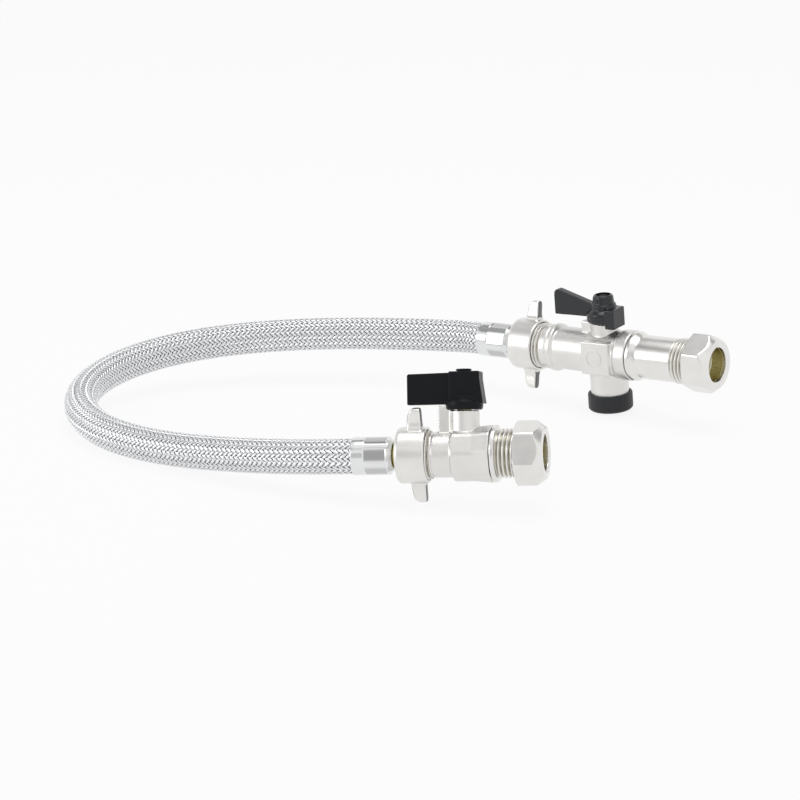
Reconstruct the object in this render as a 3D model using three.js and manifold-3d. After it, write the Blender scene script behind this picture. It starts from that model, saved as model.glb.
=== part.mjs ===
import * as THREE from 'three';
import { mergeVertices } from 'three/addons/utils/BufferGeometryUtils.js';
import Module from 'manifold-3d';

const wasm = await Module();
wasm.setup();

// Filling loop: a braided hose between an isolating valve and a check valve. Millimetres, +Z up.

// General sizes
const clearance = 0.3;
const sides = 22;
const innerSides = 16;

// 15 mm pipe, its socket and the olive that grips it
const pipe = { radius: 7.5, slip: 0.2, socketDepth: 11.7 };
const socketRadius = pipe.radius + pipe.slip;
const olive = { length: 5.6, slip: 0.12, wall: 1.38, endWall: 0.33 };
const oliveBore = pipe.radius + olive.slip;
const oliveRadius = oliveBore + olive.wall;
const oliveCone = olive.wall - olive.endWall;
const socketCone = oliveRadius + clearance - socketRadius;

// The same half-inch pipe thread on every union
const thread = { wall: 1.18, chamfer: 0.6 };
const threadRadius = socketRadius + socketCone + thread.wall;
const threadBore = threadRadius + clearance;

const compressionNut = {
  wall: 1.22, engagement: 5.5, throat: 0.9, mouthChamfer: 0.5, noseWall: 2.6, noseLength: 3.0,
  noseEdge: 0.6, rearEdge: 1.2, rearChamfer: 0.8, frontEdge: 1.4, frontChamfer: 1.4,
};

// Hose and its ends
const hose = { outerRadius: 7.5, braidWall: 1.0, linerGap: 0.6, linerWall: 1.5, steps: 56 };
const linerRadius = hose.outerRadius - hose.braidWall - hose.linerGap;
const linerBore = linerRadius - hose.linerWall;
const ferrule = {
  length: 17.5, wall: 0.5, edge: 0.4, crimpStart: 5.5, crimpEnd: 15.3, crimpDepth: 0.4,
  coneRadius: 6.0, endWall: 2.0,
};
const ferruleRadius = hose.outerRadius + ferrule.wall;
const tail = { start: 1.5, insertGap: 0.8, wall: 0.9, neckRadius: 5.5, flangeGap: 1.08, flange: 2.4 };
const insertRadius = linerBore - tail.insertGap;
const wingNut = {
  gap: 2.0, length: 12.8, wall: 0.97, endWall: 2.5, edge: 1.4, rimChamfer: 0.5,
  tipRadius: 20.4, wingStart: 4.6, wingLength: 6.3, wingThickness: 3.8, rootThickness: 7.0,
  rootHeight: 3.2, rootSink: 1.0, tipCorner: 1.3, heelSlope: 0.5,
};
const wingNutRadius = threadBore + wingNut.wall;
const washer = { thickness: 1.8, gap: 1.38, innerRadius: 4.6 };

// Near valve, stations counted from its own spigot face
const near = {
  threadLength: 6.9, threadChamfer: 0.7, neckRadius: 9.3, barrelStart: 7.8, barrelRadius: 9.6,
  flatsStart: 16.0, flatsEnd: 25.1, flatsAcross: 21.6, flareAcross: 23.0, stemX: 20.5,
  wayRadius: 4.2, spigotRadius: 8.6, spigotLength: 4.5, rimRadius: 12.0, rimLength: 2.3,
  endThreadLength: 13.2,
};
const nearBall = { radius: 6.2, boreRadius: 4.0, seatLength: 2.6, seatRise: 1.1, room: 0.8 };
const nearBoss = {
  radius: 6.35, top: 18.2, ribReach: 10.6, ribRoot: 2.0, ribHalfWidth: 3.2, ribStand: 2.2,
};
const nearLever = {
  hubLeft: 5.7, hubRight: 7.3, hubHalfDepth: 4.3, heel: 1.5, heelDrop: 3.0, top: 34.6,
  skirtRadius: 8.0, skirtEdge: 0.8, skirtShoulder: 2.6, blockLift: 0.4, blockRise: 2.4,
  paddleReach: 24.0, paddleGap: 0.5, paddleTop: 33.9, paddleThickness: 4.0,
};
const plug = { discRadius: 3.3, disc: 0.8, pinRadius: 2.7, pin: 2.9 };

// Far valve, stations counted from its own spigot face
const far = {
  threadLength: 12.4, threadChamfer: 0.7, neckRadius: 9.6, collarStart: 12.9, collarRadius: 11.0,
  collarLength: 2.3, barrelRadius: 9.9, stemX: 39.8, blockBefore: 6.5, blockAfter: 8.0,
  blockRadius: 10.9, padReach: 11.6, padHalfHeight: 7.7, rimLength: 5.6, rimRadius: 11.5,
  wayRadius: 4.6, portShift: 0.8,
};
const farBall = { radius: 7.0, boreRadius: 4.5, seatLength: 2.6, seatRise: 1.0, room: 0.8 };
const farBoss = {
  radius: 6.35, top: 14.7, ribReach: 10.6, ribRoot: 2.0, ribHalfWidth: 3.2, ribStand: 0,
};
const farLever = {
  ringRadius: 8.0, ringEdge: 0.8, ringHeight: 5.5, ringShoulder: 1.0, collarRadius: 5.8,
  collarHeight: 3.1, capRadius: 4.7, capHeight: 3.9, capEdge: 1.0, recessRadius: 3.5,
  paddleReach: 25.5, paddleLift: 1.4, rootLift: 1.0, tipHeight: 11.9, tipCorner: 2.5,
  rootHeight: 6.4, paddleThickness: 3.6,
  tabLeft: 4.2, tabRight: 8.9, tabFront: 6.8, tabBack: 3.5, tabDrop: 1.7, tabTop: 22.0,
  headDrop: 1.8,
};
const housing = {
  collarRadius: 11.3, collarLength: 3.0, radius: 10.0, taper: 1.6, threadLength: 13.2,
  pipeRoom: 12.6, spigotRadius: 9.0, spigotLength: 7.5, wayRadius: 5.0, cavityStart: 2.2,
};
const checkValve = {
  length: 9.6, gap: 0.35, wall: 1.65, lipRadius: 4.0, lip: 1.4, guide: 1.6, guideRadius: 2.7,
  discRadius: 4.9, disc: 1.2, stemRadius: 1.1, travel: 2.2, armWidth: 1.6,
};
const cageRadius = socketRadius - checkValve.gap;
const cageBore = cageRadius - checkValve.wall;
const spring = { radius: 2.7, wire: 0.35, turns: 4, stepsPerTurn: 10 };
const clip = { width: 1.8, thickness: 1.1, mouth: 3.0 };

// Test port under the far valve, counted down from the valve's axis
const port = { radius: 8.75, boreRadius: 4.0, end: 22.6 };
const seal = { thickness: 1.6, gap: 0.35 };
const cap = {
  wall: 1.25, height: 8.1, floor: 1.9, chamfer: 0.9, ribs: 36, ribDepth: 0.3, grooveWidth: 0.7,
};
const capBore = port.radius + clearance;
const sealBottom = port.end + clearance + seal.thickness;
const capBottom = sealBottom + clearance + cap.floor;

// Stem, its O-ring and the lever screw, alike in both valves
const stem = {
  radius: 3.0, slip: 0.35, flangeRadius: 4.2, flangeSlip: 0.4, flange: 1.3, tongueLength: 5.0,
  tongueWidth: 1.8, belowScrewSeat: 1.5,
};
const stemBore = stem.radius + stem.slip;
const oRing = { section: 0.55, stretch: 0.4, grooveSlip: 0.55, below: 4.2 };
const oRingRadius = stem.radius + oRing.section + oRing.stretch;
const screw = {
  radius: 1.6, slip: 0.35, length: 7.5, headRadius: 2.8, head: 1.9, slotWidth: 0.8, slotDepth: 0.9,
};
const screwHole = screw.radius + screw.slip;

// Heights and stations that follow from the sizes above
const nearSeatReach = nearBall.radius + nearBall.seatRise;
const nearSeam = near.stemX + nearSeatReach + clearance + near.spigotLength;
const nearStop = nearSeam + near.rimLength + near.endThreadLength;
const nearSeat = nearLever.top - plug.pin - screw.head - 3 * clearance;
const farSeatReach = farBall.radius + farBall.seatRise;
const farSeam = far.stemX + farSeatReach + clearance + housing.spigotLength;
const farLeverBottom = farBoss.top + clearance;
const farRingTop = farLeverBottom + farLever.ringHeight;
const farCollarTop = farRingTop + farLever.collarHeight;
const farLeverTop = farCollarTop + farLever.capHeight;
const farSeat = farLeverTop - farLever.headDrop - screw.head;
const checkStart = housing.cavityStart + clearance;
const clipStart = checkStart + 2 * checkValve.length + 2 * clearance;
const farStop = farSeam + clipStart + clip.thickness + housing.pipeRoom;

// Where the two hose ends lie, and how the fittings on them are turned (degrees)
const nearEnd = {
  at: [-83.05, -73.9, 18.13], yaw: -12.0, pitch: 4.73, crimpRoll: 12, nutRoll: 0, valveRoll: -18,
  hexRoll: 7,
};
const farEnd = {
  at: [-24.03, 97.01, 23.79], yaw: -35.0, pitch: 3.14, crimpRoll: 12, nutRoll: -8, valveRoll: 3,
  hexRoll: -28,
};

// Route of the hose between the two ferrules
const route = [
  [-91.1, -72, 17.4], [-105.8, -65.9, 15.5], [-125, -55.5, 12.8], [-143.6, -44.1, 10.4],
  [-161.9, -31.9, 8.6], [-179, -18.1, 7.7], [-193.8, -1.8, 7.7], [-204.2, 17.4, 8.7],
  [-208.2, 38.9, 10.4], [-204.5, 60.4, 12.6], [-193.6, 79.2, 15], [-177, 93.4, 17.4],
  [-157.2, 102.6, 19.5], [-135.8, 107.6, 21.1], [-114, 109.9, 22.1], [-92, 110.5, 22.6],
  [-70, 109.8, 22.7], [-48.2, 106.9, 22.8], [-30.9, 101.6, 23.3],
];

// Finishes
const finish = (color, roughness, metalness) =>
  new THREE.MeshStandardMaterial({ color, roughness, metalness });
const nickel = () => finish(0xd8d5ce, 0.28, 1.0);
const brass = () => finish(0xb59a5b, 0.35, 1.0);
const steel = () => finish(0xc9ccd0, 0.22, 1.0);
const braidSteel = () => finish(0xc4c7cb, 0.35, 0.9);
const blackPlastic = () => finish(0x26272b, 0.35, 0.0);
const greyPlastic = () => finish(0x37383c, 0.5, 0.0);
const whitePlastic = () => finish(0xe9e7e0, 0.5, 0.0);
const rubber = () => finish(0x222222, 0.8, 0.0);

// A closed mesh becomes a solid once its vertices are shared and its flat slivers are gone
function solid(geometry) {
  geometry.deleteAttribute('normal');
  geometry.deleteAttribute('uv');
  const merged = mergeVertices(geometry, 1e-4);
  const index = merged.index.array;
  const kept = [];
  for (let i = 0; i < index.length; i += 3) {
    const [a, b, c] = [index[i], index[i + 1], index[i + 2]];
    if (a !== b && b !== c && c !== a) kept.push(a, b, c);
  }
  return new wasm.Manifold(new wasm.Mesh({
    numProp: 3,
    vertProperties: new Float32Array(merged.attributes.position.array),
    triVerts: new Uint32Array(kept),
  }));
}

// A profile of [station, radius] points turned about the vertical axis, then laid along +X
function turnedUp(profile, count = sides) {
  const closed = [...profile, profile[0]];
  let area = 0;
  for (let i = 0; i < profile.length; i += 1) {
    area += closed[i][0] * closed[i + 1][1] - closed[i + 1][0] * closed[i][1];
  }
  const ordered = area > 0 ? closed.reverse() : closed;
  const points = ordered.map(([station, radius]) => new THREE.Vector2(radius, station));
  return solid(new THREE.LatheGeometry(points, count).rotateX(Math.PI / 2));
}

const turned = (profile, count = sides) => turnedUp(profile, count).rotate([0, 90, 0]);

const rod = (from, to, radius, count = sides) =>
  turned([[from, 0], [from, radius], [to, radius], [to, 0]], count);

const post = (from, to, radius, count = sides) =>
  turnedUp([[from, 0], [from, radius], [to, radius], [to, 0]], count);

function block([x0, x1], [y0, y1], [z0, z1]) {
  const box = new THREE.BoxGeometry(x1 - x0, y1 - y0, z1 - z0);
  return solid(box.translate((x0 + x1) / 2, (y0 + y1) / 2, (z0 + z1) / 2));
}

// A prism along +X with flats across the given size, one flat facing +Z
function prism(from, to, acrossFlats, count) {
  const radius = acrossFlats / 2 / Math.cos(Math.PI / count);
  const bar = new THREE.CylinderGeometry(radius, radius, to - from, count);
  bar.rotateY(Math.PI / count).rotateZ(-Math.PI / 2).translate((from + to) / 2, 0, 0);
  return solid(bar);
}

// The same kind of bar with its own size across flats at each end
const flared = (from, to, acrossStart, acrossEnd, count) => turned([
  [from, 0], [from, acrossStart / 2 / Math.cos(Math.PI / count)],
  [to, acrossEnd / 2 / Math.cos(Math.PI / count)], [to, 0],
], count).rotate([180 / count, 0, 0]);

// An outline in the XZ plane given a thickness about Y = 0
function plate(outline, thickness) {
  const shape = new THREE.Shape(outline.map(([x, z]) => new THREE.Vector2(x, z)));
  const body = new THREE.ExtrudeGeometry(shape, { depth: thickness, bevelEnabled: false });
  return solid(body.translate(0, 0, -thickness / 2).rotateX(Math.PI / 2));
}

// A tube section swept along a curve
function swept(curve, outerRadius, innerRadius, count, steps) {
  const ring = (radius) => {
    const points = [];
    for (let i = 0; i < count; i += 1) {
      const angle = (i / count) * 2 * Math.PI;
      points.push(new THREE.Vector2(radius * Math.cos(angle), radius * Math.sin(angle)));
    }
    return points;
  };
  const shape = new THREE.Shape(ring(outerRadius));
  if (innerRadius > 0) shape.holes.push(new THREE.Path(ring(innerRadius)));
  return solid(new THREE.ExtrudeGeometry(shape, { steps, bevelEnabled: false, extrudePath: curve }));
}

const joined = (...parts) => parts.reduce((whole, part) => whole.add(part));
const cut = (whole, ...parts) => parts.reduce((left, part) => left.subtract(part), whole);

function piece(name, shape, material) {
  const { vertProperties, triVerts } = shape.getMesh();
  const geometry = new THREE.BufferGeometry();
  geometry.setAttribute('position', new THREE.BufferAttribute(vertProperties, 3));
  geometry.setIndex(new THREE.BufferAttribute(triVerts, 1));
  geometry.computeVertexNormals();
  const mesh = new THREE.Mesh(geometry, material);
  mesh.name = name;
  return mesh;
}

const radians = THREE.MathUtils.degToRad;

// A group whose +X runs along a fitting's axis, rolled about that axis
function along({ at, yaw, pitch }, roll, start = 0) {
  const group = new THREE.Group();
  group.rotation.order = 'ZYX';
  group.rotation.set(radians(roll), -radians(pitch), radians(yaw));
  group.position.set(...at);
  const shift = new THREE.Vector3(start, 0, 0).applyEuler(group.rotation);
  group.position.add(shift);
  return group;
}

// Stations on the hose end, counted from the open end of the ferrule
const nutStart = ferrule.length + wingNut.gap;
const nutEnd = nutStart + wingNut.length;
const flangeStart = nutStart + wingNut.endWall + clearance;
const washerStart = flangeStart + tail.flange + clearance;
const spigotFace = washerStart + washer.thickness + clearance;

function ferruleShape() {
  const f = ferrule;
  const shell = turned([
    [0, 0], [0, ferruleRadius - f.edge], [f.edge, ferruleRadius], [f.crimpEnd, ferruleRadius],
    [f.length, f.coneRadius], [f.length, 0],
  ]);
  const band = cut(
    rod(f.crimpStart, f.crimpEnd, ferruleRadius + 1),
    prism(f.crimpStart - 1, f.crimpEnd + 1, 2 * (ferruleRadius - f.crimpDepth), 6));
  return cut(shell, band,
    rod(-1, f.length - f.endWall, hose.outerRadius - hose.braidWall),
    rod(0, f.length + 1, insertRadius + 2 * clearance));
}

function tailShape() {
  const t = tail;
  const bore = insertRadius - t.wall;
  const flangeRadius = threadBore - t.flangeGap;
  const neckStart = ferrule.length + clearance;
  const end = flangeStart + t.flange;
  return turned([
    [t.start, bore], [t.start, insertRadius], [neckStart, insertRadius],
    [neckStart, t.neckRadius], [flangeStart, t.neckRadius], [flangeStart, flangeRadius],
    [end, flangeRadius], [end, bore],
  ]);
}

// One wing: a thin blade with a sloping foot each side
function wingShape() {
  const w = wingNut;
  const x0 = nutStart + w.wingStart;
  const root = wingNutRadius - w.rootSink;
  const c = w.tipCorner;
  const blade = plate([
    [x0, root], [x0 + w.wingLength, root], [x0 + w.wingLength, w.tipRadius],
    [x0 + 2 * c, w.tipRadius], [x0 + c, w.tipRadius - c], [x0 + w.heelSlope, w.tipRadius - 3 * c],
  ], w.wingThickness);
  const foot = new THREE.Shape([
    new THREE.Vector2(-w.rootThickness / 2, root),
    new THREE.Vector2(w.rootThickness / 2, root),
    new THREE.Vector2(w.wingThickness / 2, root + w.rootHeight),
    new THREE.Vector2(-w.wingThickness / 2, root + w.rootHeight),
  ]);
  const fillet = new THREE.ExtrudeGeometry(foot, { depth: w.wingLength, bevelEnabled: false });
  fillet.rotateX(Math.PI / 2).rotateZ(Math.PI / 2).translate(x0, 0, 0);
  return joined(blade, solid(fillet));
}

function wingNutShape() {
  const w = wingNut;
  const radius = wingNutRadius;
  const cavity = nutStart + w.endWall;
  const easing = 0.3 * w.edge;
  const shell = turned([
    [nutStart, 0], [nutStart, radius - w.edge], [nutStart + easing, radius - easing],
    [nutStart + w.edge, radius], [nutEnd - w.rimChamfer, radius],
    [nutEnd, radius - w.rimChamfer], [nutEnd, 0],
  ], sides + 4);
  return cut(joined(shell, wingShape(), wingShape().rotate([180, 0, 0])),
    rod(nutStart - 1, cavity + 1, tail.neckRadius + clearance),
    rod(cavity, nutEnd + 1, threadBore, sides + 4));
}

function washerShape() {
  const end = washerStart + washer.thickness;
  const outerRadius = threadBore - washer.gap;
  return turned([
    [washerStart, washer.innerRadius], [washerStart, outerRadius],
    [end, outerRadius], [end, washer.innerRadius],
  ], innerSides);
}

// A ball of a quarter-turn valve, its bore along X and a slot across its top
function ballShape(ball, x) {
  const sphere = solid(new THREE.SphereGeometry(ball.radius, innerSides, 14).rotateX(Math.PI / 2));
  return cut(sphere,
    rod(-ball.radius - 1, ball.radius + 1, ball.boreRadius, innerSides),
    block([-stem.tongueWidth / 2 - clearance, stem.tongueWidth / 2 + clearance],
      [-ball.radius, ball.radius], [ball.boreRadius, ball.radius + 1])).translate([x, 0, 0]);
}

// The chamber that a ball turns in
const chamberRadius = (ball) => ball.radius + ball.room;

// A seat ring on one side of the ball, hollowed to the ball's own sphere
function seatShape(ball, x, side) {
  const bore = ball.boreRadius + clearance;
  const outerRadius = chamberRadius(ball) - clearance;
  const face = ball.radius + ball.seatRise;
  const ring = turned([
    [face - ball.seatLength, bore], [face - ball.seatLength, outerRadius],
    [face, outerRadius], [face, bore],
  ], innerSides);
  const hollow = solid(
    new THREE.SphereGeometry(ball.radius + clearance, innerSides, 16).rotateX(Math.PI / 2));
  const seat = ring.subtract(hollow);
  return (side > 0 ? seat : seat.rotate([0, 0, 180])).translate([x, 0, 0]);
}

// A stem reaches from the ball's slot to just under the lever screw's seat
const stemTop = (screwSeat) => screwSeat - stem.belowScrewSeat;

function stemShape(ball, screwSeat, x) {
  const top = stemTop(screwSeat);
  const flangeBottom = chamberRadius(ball) + clearance;
  const shaft = turnedUp([
    [flangeBottom, 0], [flangeBottom, stem.flangeRadius],
    [flangeBottom + stem.flange, stem.flangeRadius], [flangeBottom + stem.flange, stem.radius],
    [top, stem.radius], [top, 0],
  ], innerSides);
  const tongue = block([-stem.tongueWidth / 2, stem.tongueWidth / 2],
    [-stem.tongueLength / 2, stem.tongueLength / 2],
    [ball.boreRadius + clearance, flangeBottom + stem.flange / 2]);
  const hole = post(top - screw.length, top + 1, screwHole, innerSides);
  return cut(joined(shaft, tongue), hole).translate([x, 0, 0]);
}

function oRingShape(bossTop, x) {
  const ring = new THREE.TorusGeometry(oRingRadius, oRing.section, 6, innerSides);
  return solid(ring).translate([x, 0, bossTop - oRing.below]);
}

function screwShape(screwSeat, x) {
  const headBottom = screwSeat + clearance;
  const headTop = headBottom + screw.head;
  const bottom = headBottom - screw.length;
  const body = turnedUp([
    [bottom, 0], [bottom, screw.radius], [headBottom, screw.radius],
    [headBottom, screw.headRadius], [headTop, screw.headRadius], [headTop, 0],
  ], innerSides);
  const slot = block([-screw.headRadius, screw.headRadius], [-screw.slotWidth / 2, screw.slotWidth / 2],
    [headTop - screw.slotDepth, headTop + 1]);
  return body.subtract(slot).translate([x, 0, 0]);
}

// The stem's passage through a boss: running bore, flange pocket and O-ring groove
function stemPassage(ball, bossTop, x) {
  const groove = bossTop - oRing.below;
  const halfHeight = oRing.section + oRing.grooveSlip;
  return joined(
    post(0, bossTop + 1, stemBore, innerSides),
    post(0, chamberRadius(ball) + stem.flange + 2 * clearance,
      stem.flangeRadius + stem.flangeSlip, innerSides),
    post(groove - halfHeight, groove + halfHeight,
      oRingRadius + oRing.section + clearance, innerSides)).translate([x, 0, 0]);
}

// The round boss round a stem, with the rib beside it that stops the lever
function bossShape(boss, x, from) {
  return joined(
    post(from, boss.top, boss.radius),
    block([-boss.ribReach, boss.ribRoot - boss.radius], [-boss.ribHalfWidth, boss.ribHalfWidth],
      [from, boss.top + boss.ribStand])).translate([x, 0, 0]);
}

// The pipe socket of a compression end: stop, bore and the cone that the olive seats in
function socketHollow(end, wayRadius, wayStart) {
  const stop = end - pipe.socketDepth;
  return turned([
    [wayStart, 0], [wayStart, wayRadius], [stop, wayRadius], [stop, socketRadius],
    [end - socketCone, socketRadius], [end, socketRadius + socketCone],
    [end + 1, socketRadius + socketCone + 1], [end + 1, 0],
  ]);
}

const oliveStart = (end) => end + clearance - oliveCone;

function oliveShape(end) {
  const start = oliveStart(end);
  const front = start + olive.length;
  const endRadius = oliveBore + olive.endWall;
  return turned([
    [start, oliveBore], [start, endRadius], [start + oliveCone, oliveRadius],
    [front - oliveCone, oliveRadius], [front, endRadius], [front, oliveBore],
  ]);
}

function compressionNutShape(end) {
  const n = compressionNut;
  const start = end - n.engagement;
  const coneStart = oliveStart(end) + olive.length - oliveCone + clearance;
  const coneEnd = coneStart + socketCone;
  const front = coneEnd + n.throat + n.mouthChamfer;
  const hexEnd = front - n.noseLength;
  const flat = threadBore + n.wall;
  const corner = flat / Math.cos(Math.PI / 6);
  const mouthRadius = socketRadius + n.mouthChamfer;
  const noseRadius = mouthRadius + n.noseWall;
  const blank = turned([
    [start, 0], [start, corner - n.rearEdge], [start + n.rearChamfer, corner],
    [hexEnd - n.frontChamfer, corner], [hexEnd, corner - n.frontEdge],
    [front - n.noseEdge, noseRadius], [front, noseRadius - n.noseEdge], [front, 0],
  ], sides + 12);
  const hexagon = prism(start - 1, front + 1, 2 * flat, 6);
  const hollow = turned([
    [start - 1, 0], [start - 1, threadBore], [end + clearance, threadBore],
    [end + 2 * clearance, oliveRadius + clearance], [coneStart, oliveRadius + clearance],
    [coneEnd, socketRadius], [front - n.mouthChamfer, socketRadius], [front, mouthRadius],
    [front + 1, mouthRadius + 1], [front + 1, 0],
  ], sides + 4);
  return cut(blank.intersect(hexagon), hollow);
}

// The screwed end that takes the hose's wing nut, chamfered at its face
const unionThread = (length, chamfer) => [
  [0, 0], [0, threadRadius - chamfer], [chamfer, threadRadius], [length, threadRadius],
];

// The screwed end that takes a compression nut, from where it starts to its chamfered face
const endThread = (from, to) => [
  [from, threadRadius], [to - thread.chamfer, threadRadius], [to, threadRadius - thread.chamfer],
  [to, 0],
];

function nearBodyShape() {
  const n = near;
  const outside = joined(
    turned([
      ...unionThread(n.threadLength, n.threadChamfer),
      [n.threadLength, n.neckRadius], [n.barrelStart, n.neckRadius],
      [n.barrelStart, n.barrelRadius], [n.flatsStart + 1, n.barrelRadius], [n.flatsStart + 1, 0],
    ]),
    prism(n.flatsStart, n.flatsEnd, n.flatsAcross, 8),
    flared(n.flatsEnd, nearSeam, n.flatsAcross, n.flareAcross, 8),
    bossShape(nearBoss, n.stemX, chamberRadius(nearBall)));
  const chamberStart = n.stemX - nearSeatReach - clearance;
  return cut(outside,
    rod(-1, chamberStart + 1, n.wayRadius, innerSides),
    rod(chamberStart, nearSeam + 1, chamberRadius(nearBall), innerSides),
    rod(nearSeam - n.spigotLength - clearance, nearSeam + 1, n.spigotRadius + clearance),
    stemPassage(nearBall, nearBoss.top, n.stemX));
}

function nearEndPieceShape() {
  const n = near;
  const start = nearSeam + clearance;
  const rimEnd = nearSeam + n.rimLength;
  const outside = joined(
    rod(nearSeam - n.spigotLength, start + 1, n.spigotRadius),
    turned([
      [start, 0], [start, n.rimRadius], [rimEnd, n.rimRadius], ...endThread(rimEnd, nearStop),
    ]));
  return cut(outside, socketHollow(nearStop, n.wayRadius, nearSeam - n.spigotLength - 1));
}

function nearLeverShape() {
  const l = nearLever;
  const bottom = nearBoss.top + clearance;
  const skirtCut = nearBoss.top + nearBoss.ribStand + clearance;
  const blockBottom = skirtCut + l.blockLift;
  const shoulder = nearBoss.top + nearBoss.ribStand + l.blockRise;
  const side = nearBoss.ribHalfWidth + clearance;
  const reach = nearBoss.ribReach;
  const skirt = cut(
    turnedUp([
      [bottom, 0], [bottom, l.skirtRadius - l.skirtEdge], [bottom + l.skirtEdge, l.skirtRadius],
      [shoulder - 1, l.skirtRadius], [shoulder + 1, l.skirtRadius - l.skirtShoulder],
      [shoulder + 1, 0],
    ]),
    block([-reach, 0], [-side, side], [bottom - 1, skirtCut]),
    block([-side, side], [0, reach], [bottom - 1, skirtCut]),
    block([-reach, 0], [0, reach], [bottom - 1, skirtCut]));
  const hub = block([-l.hubLeft, l.hubRight], [-l.hubHalfDepth, l.hubHalfDepth], [blockBottom, l.top]);
  const heelTop = l.top - l.heelDrop;
  const heel = plate([
    [0, blockBottom], [l.hubRight + l.heel, blockBottom], [l.hubRight, heelTop], [0, heelTop],
  ], 2 * l.hubHalfDepth);
  const paddleBottom = wingNut.tipRadius + l.paddleGap;
  const paddle = plate([
    [-l.paddleReach, paddleBottom], [0, paddleBottom], [0, l.top], [-l.hubLeft, l.top],
    [-l.paddleReach, l.paddleTop],
  ], l.paddleThickness);
  return cut(joined(skirt, hub, heel, paddle),
    post(bottom - 1, stemTop(nearSeat) + clearance, stemBore, innerSides),
    post(bottom - 1, nearSeat + 1, screwHole, innerSides),
    post(nearSeat, l.top + 1, screw.headRadius + clearance, innerSides))
    .translate([near.stemX, 0, 0]);
}

function nearPlugShape() {
  const seat = nearLever.top + clearance;
  return turnedUp([
    [seat - plug.pin, 0], [seat - plug.pin, plug.pinRadius], [seat, plug.pinRadius],
    [seat, plug.discRadius], [seat + plug.disc, plug.discRadius], [seat + plug.disc, 0],
  ], innerSides).translate([near.stemX, 0, 0]);
}

function farBodyShape() {
  const f = far;
  const collarEnd = f.collarStart + f.collarLength;
  const blockStart = f.stemX - f.blockBefore;
  const rimStart = farSeam - f.rimLength;
  const outside = joined(
    turned([
      ...unionThread(f.threadLength, f.threadChamfer),
      [f.threadLength, f.neckRadius], [f.collarStart, f.neckRadius],
      [f.collarStart, f.collarRadius], [collarEnd, f.collarRadius],
      [collarEnd + 1, f.barrelRadius], [blockStart, f.barrelRadius],
      [blockStart, f.blockRadius], [rimStart - 1, f.blockRadius],
      [rimStart, f.rimRadius], [farSeam, f.rimRadius], [farSeam, 0],
    ]),
    block([blockStart, f.stemX + f.blockAfter], [-f.padReach, f.padReach],
      [-f.padHalfHeight, f.padHalfHeight]),
    bossShape(farBoss, f.stemX, chamberRadius(farBall)),
    post(-port.end, 0, port.radius).translate([f.stemX + f.portShift, 0, 0]));
  const chamberStart = f.stemX - farSeatReach - clearance;
  const spigotStart = farSeam - housing.spigotLength;
  return cut(outside,
    rod(-1, chamberStart + 1, f.wayRadius, innerSides),
    rod(chamberStart, spigotStart, chamberRadius(farBall), innerSides),
    rod(spigotStart - clearance, farSeam + 1, housing.spigotRadius + clearance),
    post(-port.end - 1, 0, port.boreRadius, innerSides).translate([f.stemX + f.portShift, 0, 0]),
    stemPassage(farBall, farBoss.top, f.stemX));
}

// Where each check valve ends
const checkEnd = (slot) =>
  farSeam + checkStart + (slot + 1) * checkValve.length + slot * clearance;

function checkHousingShape() {
  const h = housing;
  const start = farSeam + clearance;
  const threadStart = farStop - h.threadLength;
  const outside = joined(
    rod(farSeam - h.spigotLength, start + 1, h.spigotRadius),
    turned([
      [start, 0], [start, h.collarRadius], [start + h.collarLength - 1, h.collarRadius],
      [start + h.collarLength + h.taper, h.radius], [threadStart, h.radius],
      ...endThread(threadStart, farStop),
    ]));
  const cavity = farSeam + h.cavityStart;
  return cut(outside,
    rod(farSeam - h.spigotLength - 1, cavity + 1, h.wayRadius, innerSides),
    turned([
      [cavity, 0], [cavity, socketRadius], [farStop - socketCone, socketRadius],
      [farStop, socketRadius + socketCone], [farStop + 1, socketRadius + socketCone + 1],
      [farStop + 1, 0],
    ]));
}

// The cage of a check valve: a tube with a sealing lip, and a guide held on three arms
function cageShape(slot) {
  const c = checkValve;
  const end = checkEnd(slot);
  const start = end - c.length;
  const guideEnd = start + c.guide;
  const tube = turned([
    [start, cageBore], [start, cageRadius], [end, cageRadius], [end, c.lipRadius],
    [end - c.lip, c.lipRadius], [end - c.lip, cageBore],
  ], innerSides);
  const hub = rod(start, guideEnd, c.guideRadius, innerSides);
  const arm = block([start, guideEnd], [-c.armWidth / 2, c.armWidth / 2], [0, cageBore + c.wall / 3]);
  const arms = [0, 120, 240].map((angle) => arm.rotate([angle, 0, 0]));
  return cut(joined(tube, hub, ...arms),
    rod(start - 1, guideEnd + 1, c.stemRadius + clearance, innerSides));
}

function poppetShape(slot) {
  const c = checkValve;
  const face = checkEnd(slot) - c.lip - clearance;
  const stemEnd = face - c.length + c.lip + c.travel + 3 * clearance;
  return turned([
    [stemEnd, 0], [stemEnd, c.stemRadius], [face - c.disc, c.stemRadius],
    [face - c.disc, c.discRadius], [face, c.discRadius], [face, 0],
  ], innerSides);
}

class Helix extends THREE.Curve {
  constructor(radius, length, turns) {
    super();
    Object.assign(this, { radius, length, turns });
  }

  getPoint(t, target = new THREE.Vector3()) {
    const angle = 2 * Math.PI * this.turns * t;
    return target.set(this.length * t, this.radius * Math.cos(angle), this.radius * Math.sin(angle));
  }
}

function springShape(slot) {
  const c = checkValve;
  const end = checkEnd(slot) - c.lip - c.disc - 2 * clearance - spring.wire;
  const start = checkEnd(slot) - c.length + c.guide + clearance + spring.wire;
  const coil = new Helix(spring.radius, end - start, spring.turns);
  const steps = spring.turns * spring.stepsPerTurn;
  return swept(coil, spring.wire, 0, 5, steps).translate([start, 0, 0]);
}

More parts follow.
